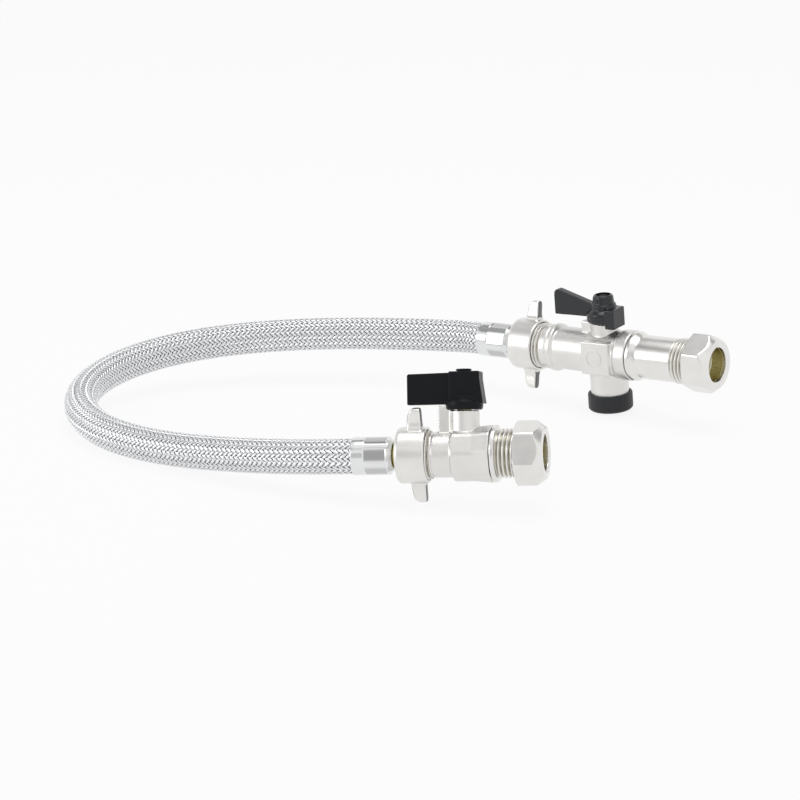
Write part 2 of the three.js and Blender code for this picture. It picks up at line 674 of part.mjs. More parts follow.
// The spring clip that keeps both check valves in, open at one side
function clipShape() {
  const start = farSeam + clipStart;
  const end = start + clip.thickness;
  const outerRadius = socketRadius - clearance;
  const innerRadius = outerRadius - clip.width;
  const ring = turned([
    [start, innerRadius], [start, outerRadius], [end, outerRadius], [end, innerRadius],
  ], innerSides);
  return cut(ring,
    block([start - 1, end + 1], [-clip.mouth / 2, clip.mouth / 2], [0, outerRadius + 1]));
}

function capShape() {
  const c = cap;
  const radius = capBore + c.wall;
  const top = c.height - capBottom;
  const shell = turnedUp([
    [-capBottom, 0], [-capBottom, radius - c.chamfer], [-capBottom + c.chamfer, radius],
    [top, radius], [top, 0],
  ], c.ribs);
  const groove = block([radius - c.ribDepth, radius + 1], [-c.grooveWidth / 2, c.grooveWidth / 2],
    [-capBottom + c.chamfer, top + 1]);
  const grooves = [];
  for (let i = 0; i < c.ribs; i += 2) {
    grooves.push(groove.rotate([0, 0, (360 * (i + 0.5)) / c.ribs]));
  }
  const inside = post(-capBottom + c.floor, top + 1, capBore);
  return cut(shell, inside, ...grooves).translate([far.stemX + far.portShift, 0, 0]);
}

function sealShape() {
  return post(-sealBottom, -sealBottom + seal.thickness, capBore - seal.gap, innerSides)
    .translate([far.stemX + far.portShift, 0, 0]);
}

function farLeverShape() {
  const l = farLever;
  const bottom = farLeverBottom;
  const hub = turnedUp([
    [bottom, 0], [bottom, l.ringRadius - l.ringEdge], [bottom + l.ringEdge, l.ringRadius],
    [farRingTop - l.ringShoulder, l.ringRadius], [farRingTop, l.ringRadius - l.ringShoulder],
    [farRingTop + l.ringShoulder / 2, l.collarRadius],
    [farCollarTop - l.capEdge / 2, l.collarRadius], [farCollarTop, l.capRadius + l.capEdge / 2],
    [farLeverTop - l.capEdge, l.capRadius], [farLeverTop, l.capRadius - l.capEdge],
    [farLeverTop, 0],
  ]);
  const tabBottom = farBoss.top - l.tabDrop;
  const tab = cut(
    block([l.tabLeft, l.tabRight], [-l.tabFront, l.tabBack], [tabBottom, l.tabTop]),
    post(tabBottom - 1, bottom + clearance / 2, farBoss.radius + 2 * clearance));
  const low = bottom + l.paddleLift;
  const tip = -l.paddleReach;
  const rootTop = low + l.rootLift + l.rootHeight;
  const paddle = plate([
    [tip, low], [0, low + l.rootLift], [0, rootTop], [-l.collarRadius, rootTop],
    [tip + l.tipCorner, low + l.tipHeight], [tip + l.tipCorner / 4, low + l.tipHeight - l.tipCorner / 3],
    [tip, low + l.tipHeight - l.tipCorner],
  ], l.paddleThickness);
  return cut(joined(hub, tab, paddle),
    post(bottom - 1, stemTop(farSeat) + clearance, stemBore, innerSides),
    post(bottom - 1, farSeat + 1, screwHole, innerSides),
    post(farSeat, farLeverTop + 1, l.recessRadius, innerSides)).translate([far.stemX, 0, 0]);
}

// Both hose ends carry the same crimped ferrule, tail, washer and wing nut
function hoseEnd(name, end) {
  const crimped = along(end, end.crimpRoll);
  crimped.add(piece(`${name}_ferrule`, ferruleShape(), steel()));
  const turning = along(end, end.nutRoll);
  turning.add(
    piece(`${name}_hose_tail`, tailShape(), brass()),
    piece(`${name}_washer`, washerShape(), rubber()),
    piece(`${name}_wing_nut`, wingNutShape(), nickel()));
  const group = new THREE.Group();
  group.add(crimped, turning);
  return group;
}

function compressionEnd(name, end, station) {
  const group = along(end, end.hexRoll, spigotFace);
  group.add(
    piece(`${name}_compression_nut`, compressionNutShape(station), nickel()),
    piece(`${name}_olive`, oliveShape(station), brass()));
  return group;
}

function nearValve() {
  const group = along(nearEnd, nearEnd.valveRoll, spigotFace);
  group.add(
    piece('near_valve_body', nearBodyShape(), nickel()),
    piece('near_end_piece', nearEndPieceShape(), nickel()),
    piece('near_ball', ballShape(nearBall, near.stemX), steel()),
    piece('near_seat_inner', seatShape(nearBall, near.stemX, -1), whitePlastic()),
    piece('near_seat_outer', seatShape(nearBall, near.stemX, 1), whitePlastic()),
    piece('near_stem', stemShape(nearBall, nearSeat, near.stemX), brass()),
    piece('near_stem_o_ring', oRingShape(nearBoss.top, near.stemX), rubber()),
    piece('near_lever', nearLeverShape(), blackPlastic()),
    piece('near_lever_screw', screwShape(nearSeat, near.stemX), steel()),
    piece('near_lever_plug', nearPlugShape(), blackPlastic()));
  return group;
}

function farValve() {
  const group = along(farEnd, farEnd.valveRoll, spigotFace);
  group.add(
    piece('far_valve_body', farBodyShape(), nickel()),
    piece('far_check_housing', checkHousingShape(), nickel()),
    piece('far_ball', ballShape(farBall, far.stemX), steel()),
    piece('far_seat_inner', seatShape(farBall, far.stemX, -1), whitePlastic()),
    piece('far_seat_outer', seatShape(farBall, far.stemX, 1), whitePlastic()),
    piece('far_stem', stemShape(farBall, farSeat, far.stemX), brass()),
    piece('far_stem_o_ring', oRingShape(farBoss.top, far.stemX), rubber()),
    piece('far_lever', farLeverShape(), blackPlastic()),
    piece('far_lever_screw', screwShape(farSeat, far.stemX), steel()),
    piece('check_valve_clip', clipShape(), steel()),
    piece('port_cap', capShape(), greyPlastic()),
    piece('port_cap_seal', sealShape(), rubber()));
  ['inner', 'outer'].forEach((place, slot) => {
    group.add(
      piece(`${place}_check_cage`, cageShape(slot), whitePlastic()),
      piece(`${place}_check_poppet`, poppetShape(slot), whitePlastic()),
      piece(`${place}_check_spring`, springShape(slot), steel()));
  });
  return group;
}

// A point on a hose end's own axis
function onAxis(end, station) {
  return along(end, 0, station).position;
}

function hoseParts() {
  const middle = route.map((point) => new THREE.Vector3(...point));
  const braidRoute = new THREE.CatmullRomCurve3(
    [onAxis(nearEnd, -clearance), ...middle, onAxis(farEnd, -clearance)]);
  const reach = ferrule.length - ferrule.endWall - 1;
  const linerRoute = new THREE.CatmullRomCurve3([
    onAxis(nearEnd, reach), onAxis(nearEnd, 0), ...middle, onAxis(farEnd, 0), onAxis(farEnd, reach),
  ]);
  const group = new THREE.Group();
  group.add(
    piece('hose_braid', swept(braidRoute, hose.outerRadius, hose.outerRadius - hose.braidWall,
      12, hose.steps), braidSteel()),
    piece('hose_liner', swept(linerRoute, linerRadius, linerBore, 8, hose.steps), rubber()));
  return group;
}

const loop = new THREE.Group();
loop.add(
  hoseParts(),
  hoseEnd('near', nearEnd),
  nearValve(),
  compressionEnd('near', nearEnd, nearStop),
  hoseEnd('far', farEnd),
  farValve(),
  compressionEnd('far', farEnd, farStop));

export default loop;
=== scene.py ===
import math
from functools import partial
from types import SimpleNamespace

import bmesh
import bpy
from mathutils import Matrix, Vector


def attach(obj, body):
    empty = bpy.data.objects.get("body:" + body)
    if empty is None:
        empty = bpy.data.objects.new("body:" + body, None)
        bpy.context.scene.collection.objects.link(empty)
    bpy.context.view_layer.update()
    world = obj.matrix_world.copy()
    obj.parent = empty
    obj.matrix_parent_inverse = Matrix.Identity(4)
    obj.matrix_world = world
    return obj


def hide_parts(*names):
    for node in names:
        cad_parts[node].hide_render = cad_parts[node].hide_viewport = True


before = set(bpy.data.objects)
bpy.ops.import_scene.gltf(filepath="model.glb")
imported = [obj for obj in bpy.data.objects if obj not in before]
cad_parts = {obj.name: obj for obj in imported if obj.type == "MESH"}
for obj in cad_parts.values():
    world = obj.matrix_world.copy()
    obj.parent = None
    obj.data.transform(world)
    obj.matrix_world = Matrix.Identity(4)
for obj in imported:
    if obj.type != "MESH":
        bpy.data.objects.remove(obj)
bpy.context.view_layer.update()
mm = 0.001
print("frame loaded:", len(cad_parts), "nodes")


def linked(data, name=None):
    obj = bpy.data.objects.new(name or data.name, data)
    bpy.context.scene.collection.objects.link(obj)
    return obj


# camera of the photograph, seen a little from above
photoCamera = SimpleNamespace(
    lens=152.37, distance=1.5, elevation=16.0, target=(-0.06372, 0.00547, 0.02002))


def setCamera(s):
    data = bpy.data.cameras.new("photoCamera")
    data.lens = s.lens
    data.sensor_width = 36.0
    camera = linked(data)
    tilt = math.radians(s.elevation)
    back = Vector((0.0, -math.cos(tilt), math.sin(tilt))) * s.distance
    camera.location = Vector(s.target) + back
    camera.rotation_euler = (math.pi / 2 - tilt, 0.0, 0.0)
    bpy.context.scene.camera = camera


setCamera(photoCamera)
bpy.context.scene.view_settings.view_transform = "Standard"
print("camera set")

# where the two hose ends lie, in mm, and how far each fitting on them is turned, in degrees
nearEnd = SimpleNamespace(
    at=(-83.05, -73.9, 18.13), yaw=-12.0, pitch=4.73, crimp=12, nut=0, valve=-18, hexagon=7)
farEnd = SimpleNamespace(
    at=(-24.03, 97.01, 23.79), yaw=-35.0, pitch=3.14, crimp=12, nut=-8, valve=3, hexagon=-28)
spigotFace = 27.1


def placing(end, roll, start=0.0):
    turn = Matrix.Rotation(math.radians(end.yaw), 4, "Z")
    turn = turn @ Matrix.Rotation(-math.radians(end.pitch), 4, "Y")
    turn = turn @ Matrix.Rotation(math.radians(roll), 4, "X")
    place = Matrix.Translation(Vector(end.at)) @ turn @ Matrix.Translation(Vector((start, 0, 0)))
    return Matrix.Scale(mm, 4) @ place


def onAxis(end, station):
    return placing(end, 0.0, station).to_translation()


# helpers that make meshes in mm, ready to be placed
def meshOf(bm, name):
    bmesh.ops.remove_doubles(bm, verts=bm.verts, dist=1e-5)
    bmesh.ops.recalc_face_normals(bm, faces=bm.faces)
    mesh = bpy.data.meshes.new(name)
    bm.to_mesh(mesh)
    bm.free()
    return mesh


def skin(rings, segments=96, name="skin"):
    # rings are (station, radius); a radius may be a function of the angle, and radius 0 is a pole
    bm = bmesh.new()
    loops = []
    for station, radius in rings:
        if radius == 0:
            loops.append([bm.verts.new((station, 0, 0))])
            continue
        loop = []
        for i in range(segments):
            angle = 2 * math.pi * i / segments
            r = radius(angle) if callable(radius) else radius
            loop.append(bm.verts.new((station, r * math.sin(angle), r * math.cos(angle))))
        loops.append(loop)
    closed = len(loops[0]) > 1 and len(loops[-1]) > 1
    pairs = list(zip(loops, loops[1:])) + ([(loops[-1], loops[0])] if closed else [])
    for one, two in pairs:
        for i in range(segments):
            j = (i + 1) % segments
            corners = [one[i % len(one)], one[j % len(one)], two[j % len(two)], two[i % len(two)]]
            face = list(dict.fromkeys(corners))
            if len(face) > 2:
                bm.faces.new(face)
    return meshOf(bm, name)


def eased(points, steps=5):
    # a profile of (station, radius, fillet), each corner rounded by its fillet
    out = []
    count = len(points)
    for i, point in enumerate(points):
        fillet = point[2] if len(point) > 2 else 0
        corner = Vector(point[:2])
        if not fillet or i in (0, count - 1):
            out.append(tuple(corner))
            continue
        before, after = Vector(points[i - 1][:2]) - corner, Vector(points[i + 1][:2]) - corner
        reach = min(fillet, before.length * 0.48, after.length * 0.48)
        start, end = corner + before.normalized() * reach, corner + after.normalized() * reach
        for k in range(steps + 1):
            t = k / steps
            out.append(tuple(start * (1 - t) ** 2 + corner * 2 * t * (1 - t) + end * t * t))
    return out


def box(x, y, z):
    bm = bmesh.new()
    bmesh.ops.create_cube(bm, size=1.0)
    size = Vector((x[1] - x[0], y[1] - y[0], z[1] - z[0]))
    middle = Vector((x[0] + x[1], y[0] + y[1], z[0] + z[1])) / 2
    for vert in bm.verts:
        vert.co = Vector(c * s for c, s in zip(vert.co, size)) + middle
    return meshOf(bm, "box")


def plate(outline, thickness):
    # an outline in x and z, given a thickness about y = 0
    bm = bmesh.new()
    front = [bm.verts.new((x, -thickness / 2, z)) for x, z in outline]
    back = [bm.verts.new((x, thickness / 2, z)) for x, z in outline]
    bm.faces.new(front)
    bm.faces.new(list(reversed(back)))
    for i in range(len(outline)):
        j = (i + 1) % len(outline)
        bm.faces.new((front[i], back[i], back[j], front[j]))
    return meshOf(bm, "plate")


def upright(mesh):
    # a form turned along x is stood up along z
    mesh.transform(Matrix.Rotation(-math.pi / 2, 4, "Y"))
    return mesh


def moved(mesh, x=0.0, y=0.0, z=0.0):
    mesh.transform(Matrix.Translation(Vector((x, y, z))))
    return mesh


def withPaintedShade(mesh, depth):
    # marks how much painted shade each point takes, from 0 to 1: how deep it lies in a groove, or how far a
    # face is painted darker as shade
    values = [depth(vert.co, vert.normal) for vert in mesh.vertices]
    mesh.attributes.new("paintedShade", "FLOAT", "POINT").data.foreach_set("value", values)
    return mesh


def together(meshes, name):
    bm = bmesh.new()
    for mesh in meshes:
        if "paintedShade" not in mesh.attributes:
            withPaintedShade(mesh, lambda place, normal: 0.0)
        bm.from_mesh(mesh)
        bpy.data.meshes.remove(mesh)
    mesh = bpy.data.meshes.new(name)
    bm.to_mesh(mesh)
    bm.free()
    return mesh


def settled(obj):
    # the object's mesh with its modifiers applied; the object itself goes
    bpy.context.view_layer.update()
    evaluated = obj.evaluated_get(bpy.context.evaluated_depsgraph_get())
    mesh = bpy.data.meshes.new_from_object(evaluated)
    bpy.data.objects.remove(obj, do_unlink=True)
    return mesh


def carved(base, cutters):
    obj = linked(base)
    tools = [linked(cutter) for cutter in cutters]
    for tool in tools:
        cut = obj.modifiers.new("cut", "BOOLEAN")
        cut.operation = "DIFFERENCE"
        cut.solver = "EXACT"
        cut.object = tool
    mesh = settled(obj)
    for tool in tools:
        bpy.data.objects.remove(tool, do_unlink=True)
    return mesh


def fused(meshes, name, grain=0.3, soften=5):
    # overlapping forms melt into one casting with small fillets where they meet
    obj = linked(together(meshes, name))
    melt = obj.modifiers.new("melt", "REMESH")
    melt.mode = "VOXEL"
    melt.voxel_size = grain
    if soften:
        ease = obj.modifiers.new("ease", "SMOOTH")
        ease.factor = 0.5
        ease.iterations = soften
    return settled(obj)


def thread(start, end, major, depth=1.0, pitch=1.814, core=6.0, segments=96, steps=10):
    # a helical ridge on a sleeve; its ends run out into the core
    stations = max(3, int((end - start) / pitch * steps))

    def height(station, angle):
        turn = ((station - start) / pitch - angle / (2 * math.pi)) % 1.0
        ridge = 0.5 + 0.5 * math.cos(2 * math.pi * turn)
        edge = min(1.0, (station - start) / (0.4 * pitch), (end - station) / (0.25 * pitch))
        return major - depth + depth * ridge ** 0.8 * max(0.0, edge)

    rings = [(start, core)]
    for i in range(stations + 1):
        station = start + (end - start) * i / stations
        rings.append((station, lambda angle, s=station: height(s, angle)))
    rings.append((end, core))
    # the grooves take painted shade, darkest at their bottoms
    return withPaintedShade(skin(rings, segments, "thread"),
                    lambda place, normal: min(1.0, max(0.0, (major - place.yz.length) / depth)) ** 1.8)


def hexagon(across, angle, count=6, soften=0.3):
    # distance to a regular outline with rounded corners
    step = 2 * math.pi / count
    offset = (angle % step) - step / 2
    straight = across / 2 / math.cos(abs(abs(offset) - step / 2))
    corner = across / 2 / math.cos(step / 2)
    return min(straight, corner - soften)


def smoothLess(a, b, blend):
    h = max(blend - abs(a - b), 0.0) / blend
    return min(a, b) - h * h * blend * 0.25


def finished(mesh, name, matrix, body, nodes, material, smoothAngle=35.0):
    mesh.name = name
    mesh.transform(matrix)
    mesh.materials.clear()
    mesh.materials.append(material)
    obj = linked(mesh, name)
    mesh.shade_smooth()
    if smoothAngle:
        mesh.set_sharp_from_angle(angle=math.radians(smoothAngle))
    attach(obj, body)
    if nodes:
        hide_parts(*nodes)
    return obj


# node trees
def nodeGroup(name, treeKind, inputs, outputs):
    # a number among the inputs is a first value, a word is the kind of socket
    group = bpy.data.node_groups.new(name, treeKind)
    for label, value in inputs.items():
        kind = {int: "Int", float: "Float"}.get(type(value), value)
        socket = group.interface.new_socket(name=label, in_out="INPUT", socket_type="NodeSocket" + kind)
        if kind != value:
            socket.default_value = value
    for label, kind in outputs.items():
        group.interface.new_socket(name=label, in_out="OUTPUT", socket_type="NodeSocket" + kind)
    return group, group.nodes.new("NodeGroupInput").outputs, group.nodes.new("NodeGroupOutput").inputs


def node(tree, kind, links=(), **values):
    made = tree.nodes.new(kind)
    for key, value in values.items():
        setattr(made, key, value)
    for socket, source in links:
        if hasattr(source, "is_output"):
            tree.links.new(source, made.inputs[socket])
        else:
            made.inputs[socket].default_value = source
    return made


def maths(tree, operation, *values, **settings):
    return node(tree, "ShaderNodeMath", enumerate(values), operation=operation, **settings).outputs[0]


def surfaceGrainGroup():
    # a fine grain with larger slow patches: a mask, a roughness shift and a bumped normal
    group, g, result = nodeGroup("surfaceGrain", "ShaderNodeTree", {
        "Grain Size": 900.0, "Patch Size": 60.0, "Depth": 0.1, "Roughness": 0.3, "Spread": 0.1,
    }, {"Patches": "Float", "Roughness": "Float", "Normal": "Vector"})
    add, calc = partial(node, group), partial(maths, group)
    where = add("ShaderNodeTexCoord").outputs["Object"]
    fine = add("ShaderNodeTexNoise", [
        ("Vector", where), ("Scale", g["Grain Size"]), ("Detail", 4.0), ("Roughness", 0.6)])
    slow = add("ShaderNodeTexNoise", [
        ("Vector", where), ("Scale", g["Patch Size"]), ("Detail", 3.0), ("Roughness", 0.55)])
    spread = calc("MULTIPLY", calc("SUBTRACT", slow.outputs["Fac"], 0.5), g["Spread"])
    total = calc("ADD", spread, g["Roughness"], use_clamp=True)
    bump = add("ShaderNodeBump", [
        ("Strength", g["Depth"]), ("Distance", 0.0002), ("Height", fine.outputs["Fac"])])
    group.links.new(slow.outputs["Fac"], result["Patches"])
    group.links.new(total, result["Roughness"])
    group.links.new(bump.outputs["Normal"], result["Normal"])
    return group


surfaceGrain = surfaceGrainGroup()


def finish(name, dark, light, paintedShade, metal, specular, rough, spread, grain, patch, depth):
    # one material from its two colours, the colour of its painted shade, its roughness and its grain
    material = bpy.data.materials.new(name)
    material.use_nodes = True
    tree = material.node_tree
    shader = tree.nodes["Principled BSDF"]
    surface = tree.nodes.new("ShaderNodeGroup")
    surface.node_tree = surfaceGrain
    for label, value in (("Grain Size", grain), ("Patch Size", patch), ("Depth", depth),
                         ("Roughness", rough), ("Spread", spread)):
        surface.inputs[label].default_value = value
    colour = node(tree, "ShaderNodeMix", [("Factor", surface.outputs["Patches"])], data_type="RGBA")
    colour.inputs["A"].default_value = (*dark, 1)
    colour.inputs["B"].default_value = (*light, 1)
    # painted shade: the colour is mixed towards the painted shade colour as far as the mask reaches
    if paintedShade:
        inside = node(tree, "ShaderNodeAttribute", attribute_name="paintedShade").outputs["Fac"]
        shadedColour = node(tree, "ShaderNodeMix", [("Factor", inside)], data_type="RGBA")
        tree.links.new(colour.outputs["Result"], shadedColour.inputs["A"])
        shadedColour.inputs["B"].default_value = (*paintedShade, 1)
        colour = shadedColour
    tree.links.new(colour.outputs["Result"], shader.inputs["Base Color"])
    for label in ("Roughness", "Normal"):
        tree.links.new(surface.outputs[label], shader.inputs[label])
    shader.inputs["Metallic"].default_value = metal
    shader.inputs["Specular IOR Level"].default_value = specular
    return material


# dark and light colour, colour of the painted shade in grooves and on shaded faces, metal, specular,
# roughness and its spread, then the grain's size, the patches' size and the grain's depth
turned = (0.73, 0.72, 0.70), (0.87, 0.86, 0.84)
finishes = {
    "nickelCast": ((0.70, 0.69, 0.67), (0.84, 0.83, 0.81), (0.40, 0.37, 0.30), 1.0, 0.5,
                   0.36, 0.16, 1800.0, 90.0, 0.35),
    "nickelTurned": (*turned, (0.40, 0.37, 0.29), 1.0, 0.5, 0.24, 0.12, 2500.0, 120.0, 0.10),
    # the wings' narrow sides take a dark grey painted shade
    "nickelWing": (*turned, (0.16, 0.16, 0.16), 1.0, 0.5, 0.33, 0.12, 2500.0, 120.0, 0.12),
    "chrome": ((0.72, 0.725, 0.73), (0.84, 0.845, 0.85), (0.54, 0.54, 0.54), 1.0, 0.5,
               0.12, 0.10, 2200.0, 150.0, 0.10),
    "brass": ((0.48, 0.41, 0.15), (0.76, 0.69, 0.34), None, 1.0, 0.5, 0.30, 0.2, 2500.0, 200.0, 0.12),
    "blackGloss": ((0.0125, 0.013, 0.0155), (0.017, 0.018, 0.021), None, 0.0, 0.08,
                   0.22, 0.12, 3500.0, 80.0, 0.06),
    "blackSatin": ((0.010, 0.011, 0.013), (0.018, 0.020, 0.024), None, 0.0, 0.5,
                   0.18, 0.16, 3200.0, 90.0, 0.10),
    "capPlastic": ((0.015, 0.0155, 0.018), (0.028, 0.029, 0.033), None, 0.0, 0.35,
                   0.44, 0.16, 3000.0, 110.0, 0.2),
    "whitePlastic": ((0.72, 0.70, 0.64), (0.82, 0.80, 0.75), None, 0.0, 0.5,
                     0.45, 0.12, 2500.0, 120.0, 0.12),
    "rubber": ((0.012, 0.012, 0.012), (0.028, 0.027, 0.026), None, 0.0, 0.5,
               0.7, 0.16, 2600.0, 140.0, 0.3),
    "braidShade": ((0.10, 0.10, 0.11), (0.20, 0.20, 0.21), None, 0.9, 0.5,
                   0.5, 0.16, 3000.0, 200.0, 0.4),
    "braidWire": ((0.76, 0.77, 0.79), (0.94, 0.945, 0.955), None, 1.0, 0.5,
                  0.24, 0.2, 3000.0, 260.0, 0.05),
}
paint = {name: finish(name, *values) for name, values in finishes.items()}


def addWires(tree, wires=5.0):
    # bright wires laid side by side in each strand, counted across it by the strand's own attribute
    across = node(tree, "ShaderNodeAttribute", attribute_name="across").outputs["Fac"]
    wave = maths(tree, "COSINE", maths(tree, "MULTIPLY", across, wires * 2 * math.pi))
    normal = tree.nodes["Principled BSDF"].inputs["Normal"]
    bump = node(tree, "ShaderNodeBump", [
        ("Strength", 0.35), ("Distance", 0.00006), ("Height", wave),
        ("Normal", normal.links[0].from_socket)])
    tree.links.new(bump.outputs["Normal"], normal)


addWires(paint["braidWire"].node_tree)
print("materials ready")

# hose: the route of its middle line in mm, from the near ferrule to the far one
hoseSizes = SimpleNamespace(
    radius=7.60, core=6.7, coreWall=0.5, tuck=1.4, straight=0.3, points=301, strands=24, lay=57.0,
    strandWidth=1.50, strandHeight=0.34, swing=0.26, perTurn=96)
hoseRoute = [
    (-91.1, -72, 17.4), (-105.8, -65.9, 15.5), (-125, -55.5, 12.8), (-143.6, -44.1, 10.4),
    (-161.9, -31.9, 8.6), (-179, -18.1, 7.7), (-193.8, -1.8, 7.7), (-204.2, 17.4, 8.7),
    (-208.2, 38.9, 10.4), (-204.5, 60.4, 12.6), (-193.6, 79.2, 15), (-177, 93.4, 17.4),
    (-157.2, 102.6, 19.5), (-135.8, 107.6, 21.1), (-114, 109.9, 22.1), (-92, 110.5, 22.6),
    (-70, 109.8, 22.7), (-48.2, 106.9, 22.8), (-30.9, 101.6, 23.3),
]


def smoothRoute(points, perSpan=14):
    # centripetal spline through the points
    ends = [points[0] * 2 - points[1]] + points + [points[-1] * 2 - points[-2]]
    out = []
    for a, b, c, d in zip(ends, ends[1:], ends[2:], ends[3:]):
        t0, t1, t2 = ((q - p).length ** 0.5 for p, q in ((a, b), (b, c), (c, d)))
        m1 = ((b - a) / t0 - (c - a) / (t0 + t1) + (c - b) / t1) * t1
        m2 = ((c - b) / t1 - (d - b) / (t1 + t2) + (d - c) / t2) * t1
        for k in range(perSpan):
            t = k / perSpan
            out.append(b * (2 * t**3 - 3 * t**2 + 1) + c * (3 * t**2 - 2 * t**3)
                       + m1 * (t**3 - 2 * t**2 + t) + m2 * (t**3 - t**2))
    return out + [points[-1]]


def evenly(points, count):
    lengths = [0.0]
    for p, q in zip(points, points[1:]):
        lengths.append(lengths[-1] + (q - p).length)
    out, k = [], 0
    for i in range(count):
        goal = lengths[-1] * i / (count - 1)
        while k < len(points) - 2 and lengths[k + 1] < goal:
            k += 1
        t = (goal - lengths[k]) / (lengths[k + 1] - lengths[k])
        out.append(points[k].lerp(points[k + 1], t))
    return out, lengths[-1]


def endPoints(end):
    # inside the ferrule, and just out of its mouth
    return [onAxis(end, hoseSizes.tuck), onAxis(end, -hoseSizes.straight)]


middle = [Vector(point) * mm for point in hoseRoute]
hoseLine, hoseLength = evenly(
    smoothRoute(endPoints(nearEnd) + middle + endPoints(farEnd)[::-1]), hoseSizes.points)


def lineObject(points, name):
    data = bpy.data.curves.new(name, "CURVE")
    data.dimensions = "3D"
    spline = data.splines.new("POLY")
    spline.points.add(len(points) - 1)
    for slot, point in zip(spline.points, points):
        slot.co = (*point, 1.0)
    return linked(data, name)


def braidTree():
    # strands wound round the line, each passing over two of the others and under two
    tree, g, result = nodeGroup("braidStrands", "GeometryNodeTree", {
        "Geometry": "Geometry", "Strands": 24, "Direction": 1.0, "Radius": 0.0071, "Lay": 0.047,
        "Width": 0.0013, "Height": 0.0004, "Swing": 0.0003, "Line Length": 0.4, "Steps": 800,
        "Material": "Material"}, {"Geometry": "Geometry"})
    add, calc = partial(node, tree), partial(maths, tree)
    # a straight strand along x with a flat lens for its section
    end = add("ShaderNodeCombineXYZ", [("X", g["Line Length"])]).outputs[0]
    line = add("GeometryNodeCurvePrimitiveLine", [("End", end)])
    fine = add("GeometryNodeResampleCurve", [("Curve", line.outputs[0]), ("Count", g["Steps"])])
    section = add("GeometryNodeCurvePrimitiveQuadrilateral", mode="POINTS")
    half = calc("MULTIPLY", g["Width"], 0.5)
    rise = calc("MULTIPLY", g["Height"], 0.5)
    for number, (y, z) in enumerate(((half, 0.0), (0.0, rise), (calc("MULTIPLY", half, -1.0), 0.0),
                                     (0.0, calc("MULTIPLY", rise, -1.0)))):
        corner = add("ShaderNodeCombineXYZ", [("X", y), ("Y", z)]).outputs[0]
        tree.links.new(corner, section.inputs["Point " + str(number + 1)])
    strand = add("GeometryNodeCurveToMesh", [
        ("Curve", fine.outputs[0]), ("Profile Curve", section.outputs[0]), ("Fill Caps", True)])
    points = add("GeometryNodePoints", [("Count", g["Strands"])])
    placed = add("GeometryNodeInstanceOnPoints", [
        ("Points", points.outputs[0]), ("Instance", strand.outputs[0])])
    tagged = add("GeometryNodeStoreNamedAttribute", [
        ("Geometry", placed.outputs[0]), ("Name", "strandNumber"),
        ("Value", add("GeometryNodeInputIndex").outputs[0])], domain="INSTANCE", data_type="FLOAT")
    real = add("GeometryNodeRealizeInstances", [("Geometry", tagged.outputs[0])])
    # every point is laid on the hose: its place along x, its width round the hose, its height outwards
    which = add("GeometryNodeInputNamedAttribute", [("Name", "strandNumber")], data_type="FLOAT").outputs[0]
    place = add("GeometryNodeInputPosition").outputs[0]
    x, across, height = add("ShaderNodeSeparateXYZ", [("Vector", place)]).outputs
    turnsPerMetre = calc("DIVIDE", g["Direction"], g["Lay"])
    slope = calc("ARCTAN2", calc("MULTIPLY", g["Radius"], 2 * math.pi), g["Lay"])
    sideways = calc("MULTIPLY", across, calc("SINE", slope))
    along = calc("SUBTRACT", x, calc("MULTIPLY", sideways, g["Direction"]))
    aroundBy = calc("DIVIDE", calc("MULTIPLY", across, calc("COSINE", slope)), g["Radius"])
    turns = calc("ADD", calc("MULTIPLY", x, turnsPerMetre), calc("DIVIDE", which, g["Strands"]))
    angle = calc("ADD", calc("MULTIPLY", turns, 2 * math.pi), aroundBy)
    # crossings counted along the strand, a full over and under every four of them
    passed = calc("MULTIPLY", calc("MULTIPLY", x, turnsPerMetre), g["Strands"])
    crossing = calc("MULTIPLY", calc("ADD", which, passed), math.pi)
    wave = calc("SINE", calc("ADD", crossing, math.pi / 4))
    swing = calc("MULTIPLY", calc("MULTIPLY", wave, g["Swing"]), g["Direction"])
    radius = calc("ADD", calc("ADD", g["Radius"], height), swing)
    spine = add("GeometryNodeSampleCurve", [
        ("Curves", g["Geometry"]), ("Length", along)], mode="LENGTH", use_all_curves=True).outputs

    def vector(operation, *values):
        return add("ShaderNodeVectorMath", values, operation=operation).outputs[0]

    sideVector = vector("CROSS_PRODUCT", (0, spine["Tangent"]), (1, spine["Normal"]))
    out = vector("SCALE", (0, spine["Normal"]), ("Scale", calc("MULTIPLY", calc("COSINE", angle), radius)))
    aside = vector("SCALE", (0, sideVector), ("Scale", calc("MULTIPLY", calc("SINE", angle), radius)))
    spot = vector("ADD", (0, spine["Position"]), (1, vector("ADD", (0, out), (1, aside))))
    kept = add("GeometryNodeStoreNamedAttribute", [
        ("Geometry", real.outputs[0]), ("Name", "across"), ("Value", calc("DIVIDE", across, g["Width"]))],
        domain="POINT", data_type="FLOAT")
    laid = add("GeometryNodeSetPosition", [("Geometry", kept.outputs[0]), ("Position", spot)])
    coated = add("GeometryNodeSetMaterial", [("Geometry", laid.outputs[0]), ("Material", g["Material"])])
    tree.links.new(coated.outputs[0], result["Geometry"])
    return tree


def grown(obj, tree, values, name):
    # the tree's result on this object, as a plain mesh
    modifier = obj.modifiers.new("grow", "NODES")
    modifier.node_group = tree
    for item in tree.interface.items_tree:
        if item.in_out == "INPUT" and item.name in values:
            modifier[item.identifier] = values[item.name]
    bpy.context.view_layer.update()
    evaluated = obj.evaluated_get(bpy.context.evaluated_depsgraph_get())
    mesh = bpy.data.meshes.new_from_object(evaluated)
    mesh.name = name
    obj.modifiers.remove(modifier)
    return mesh


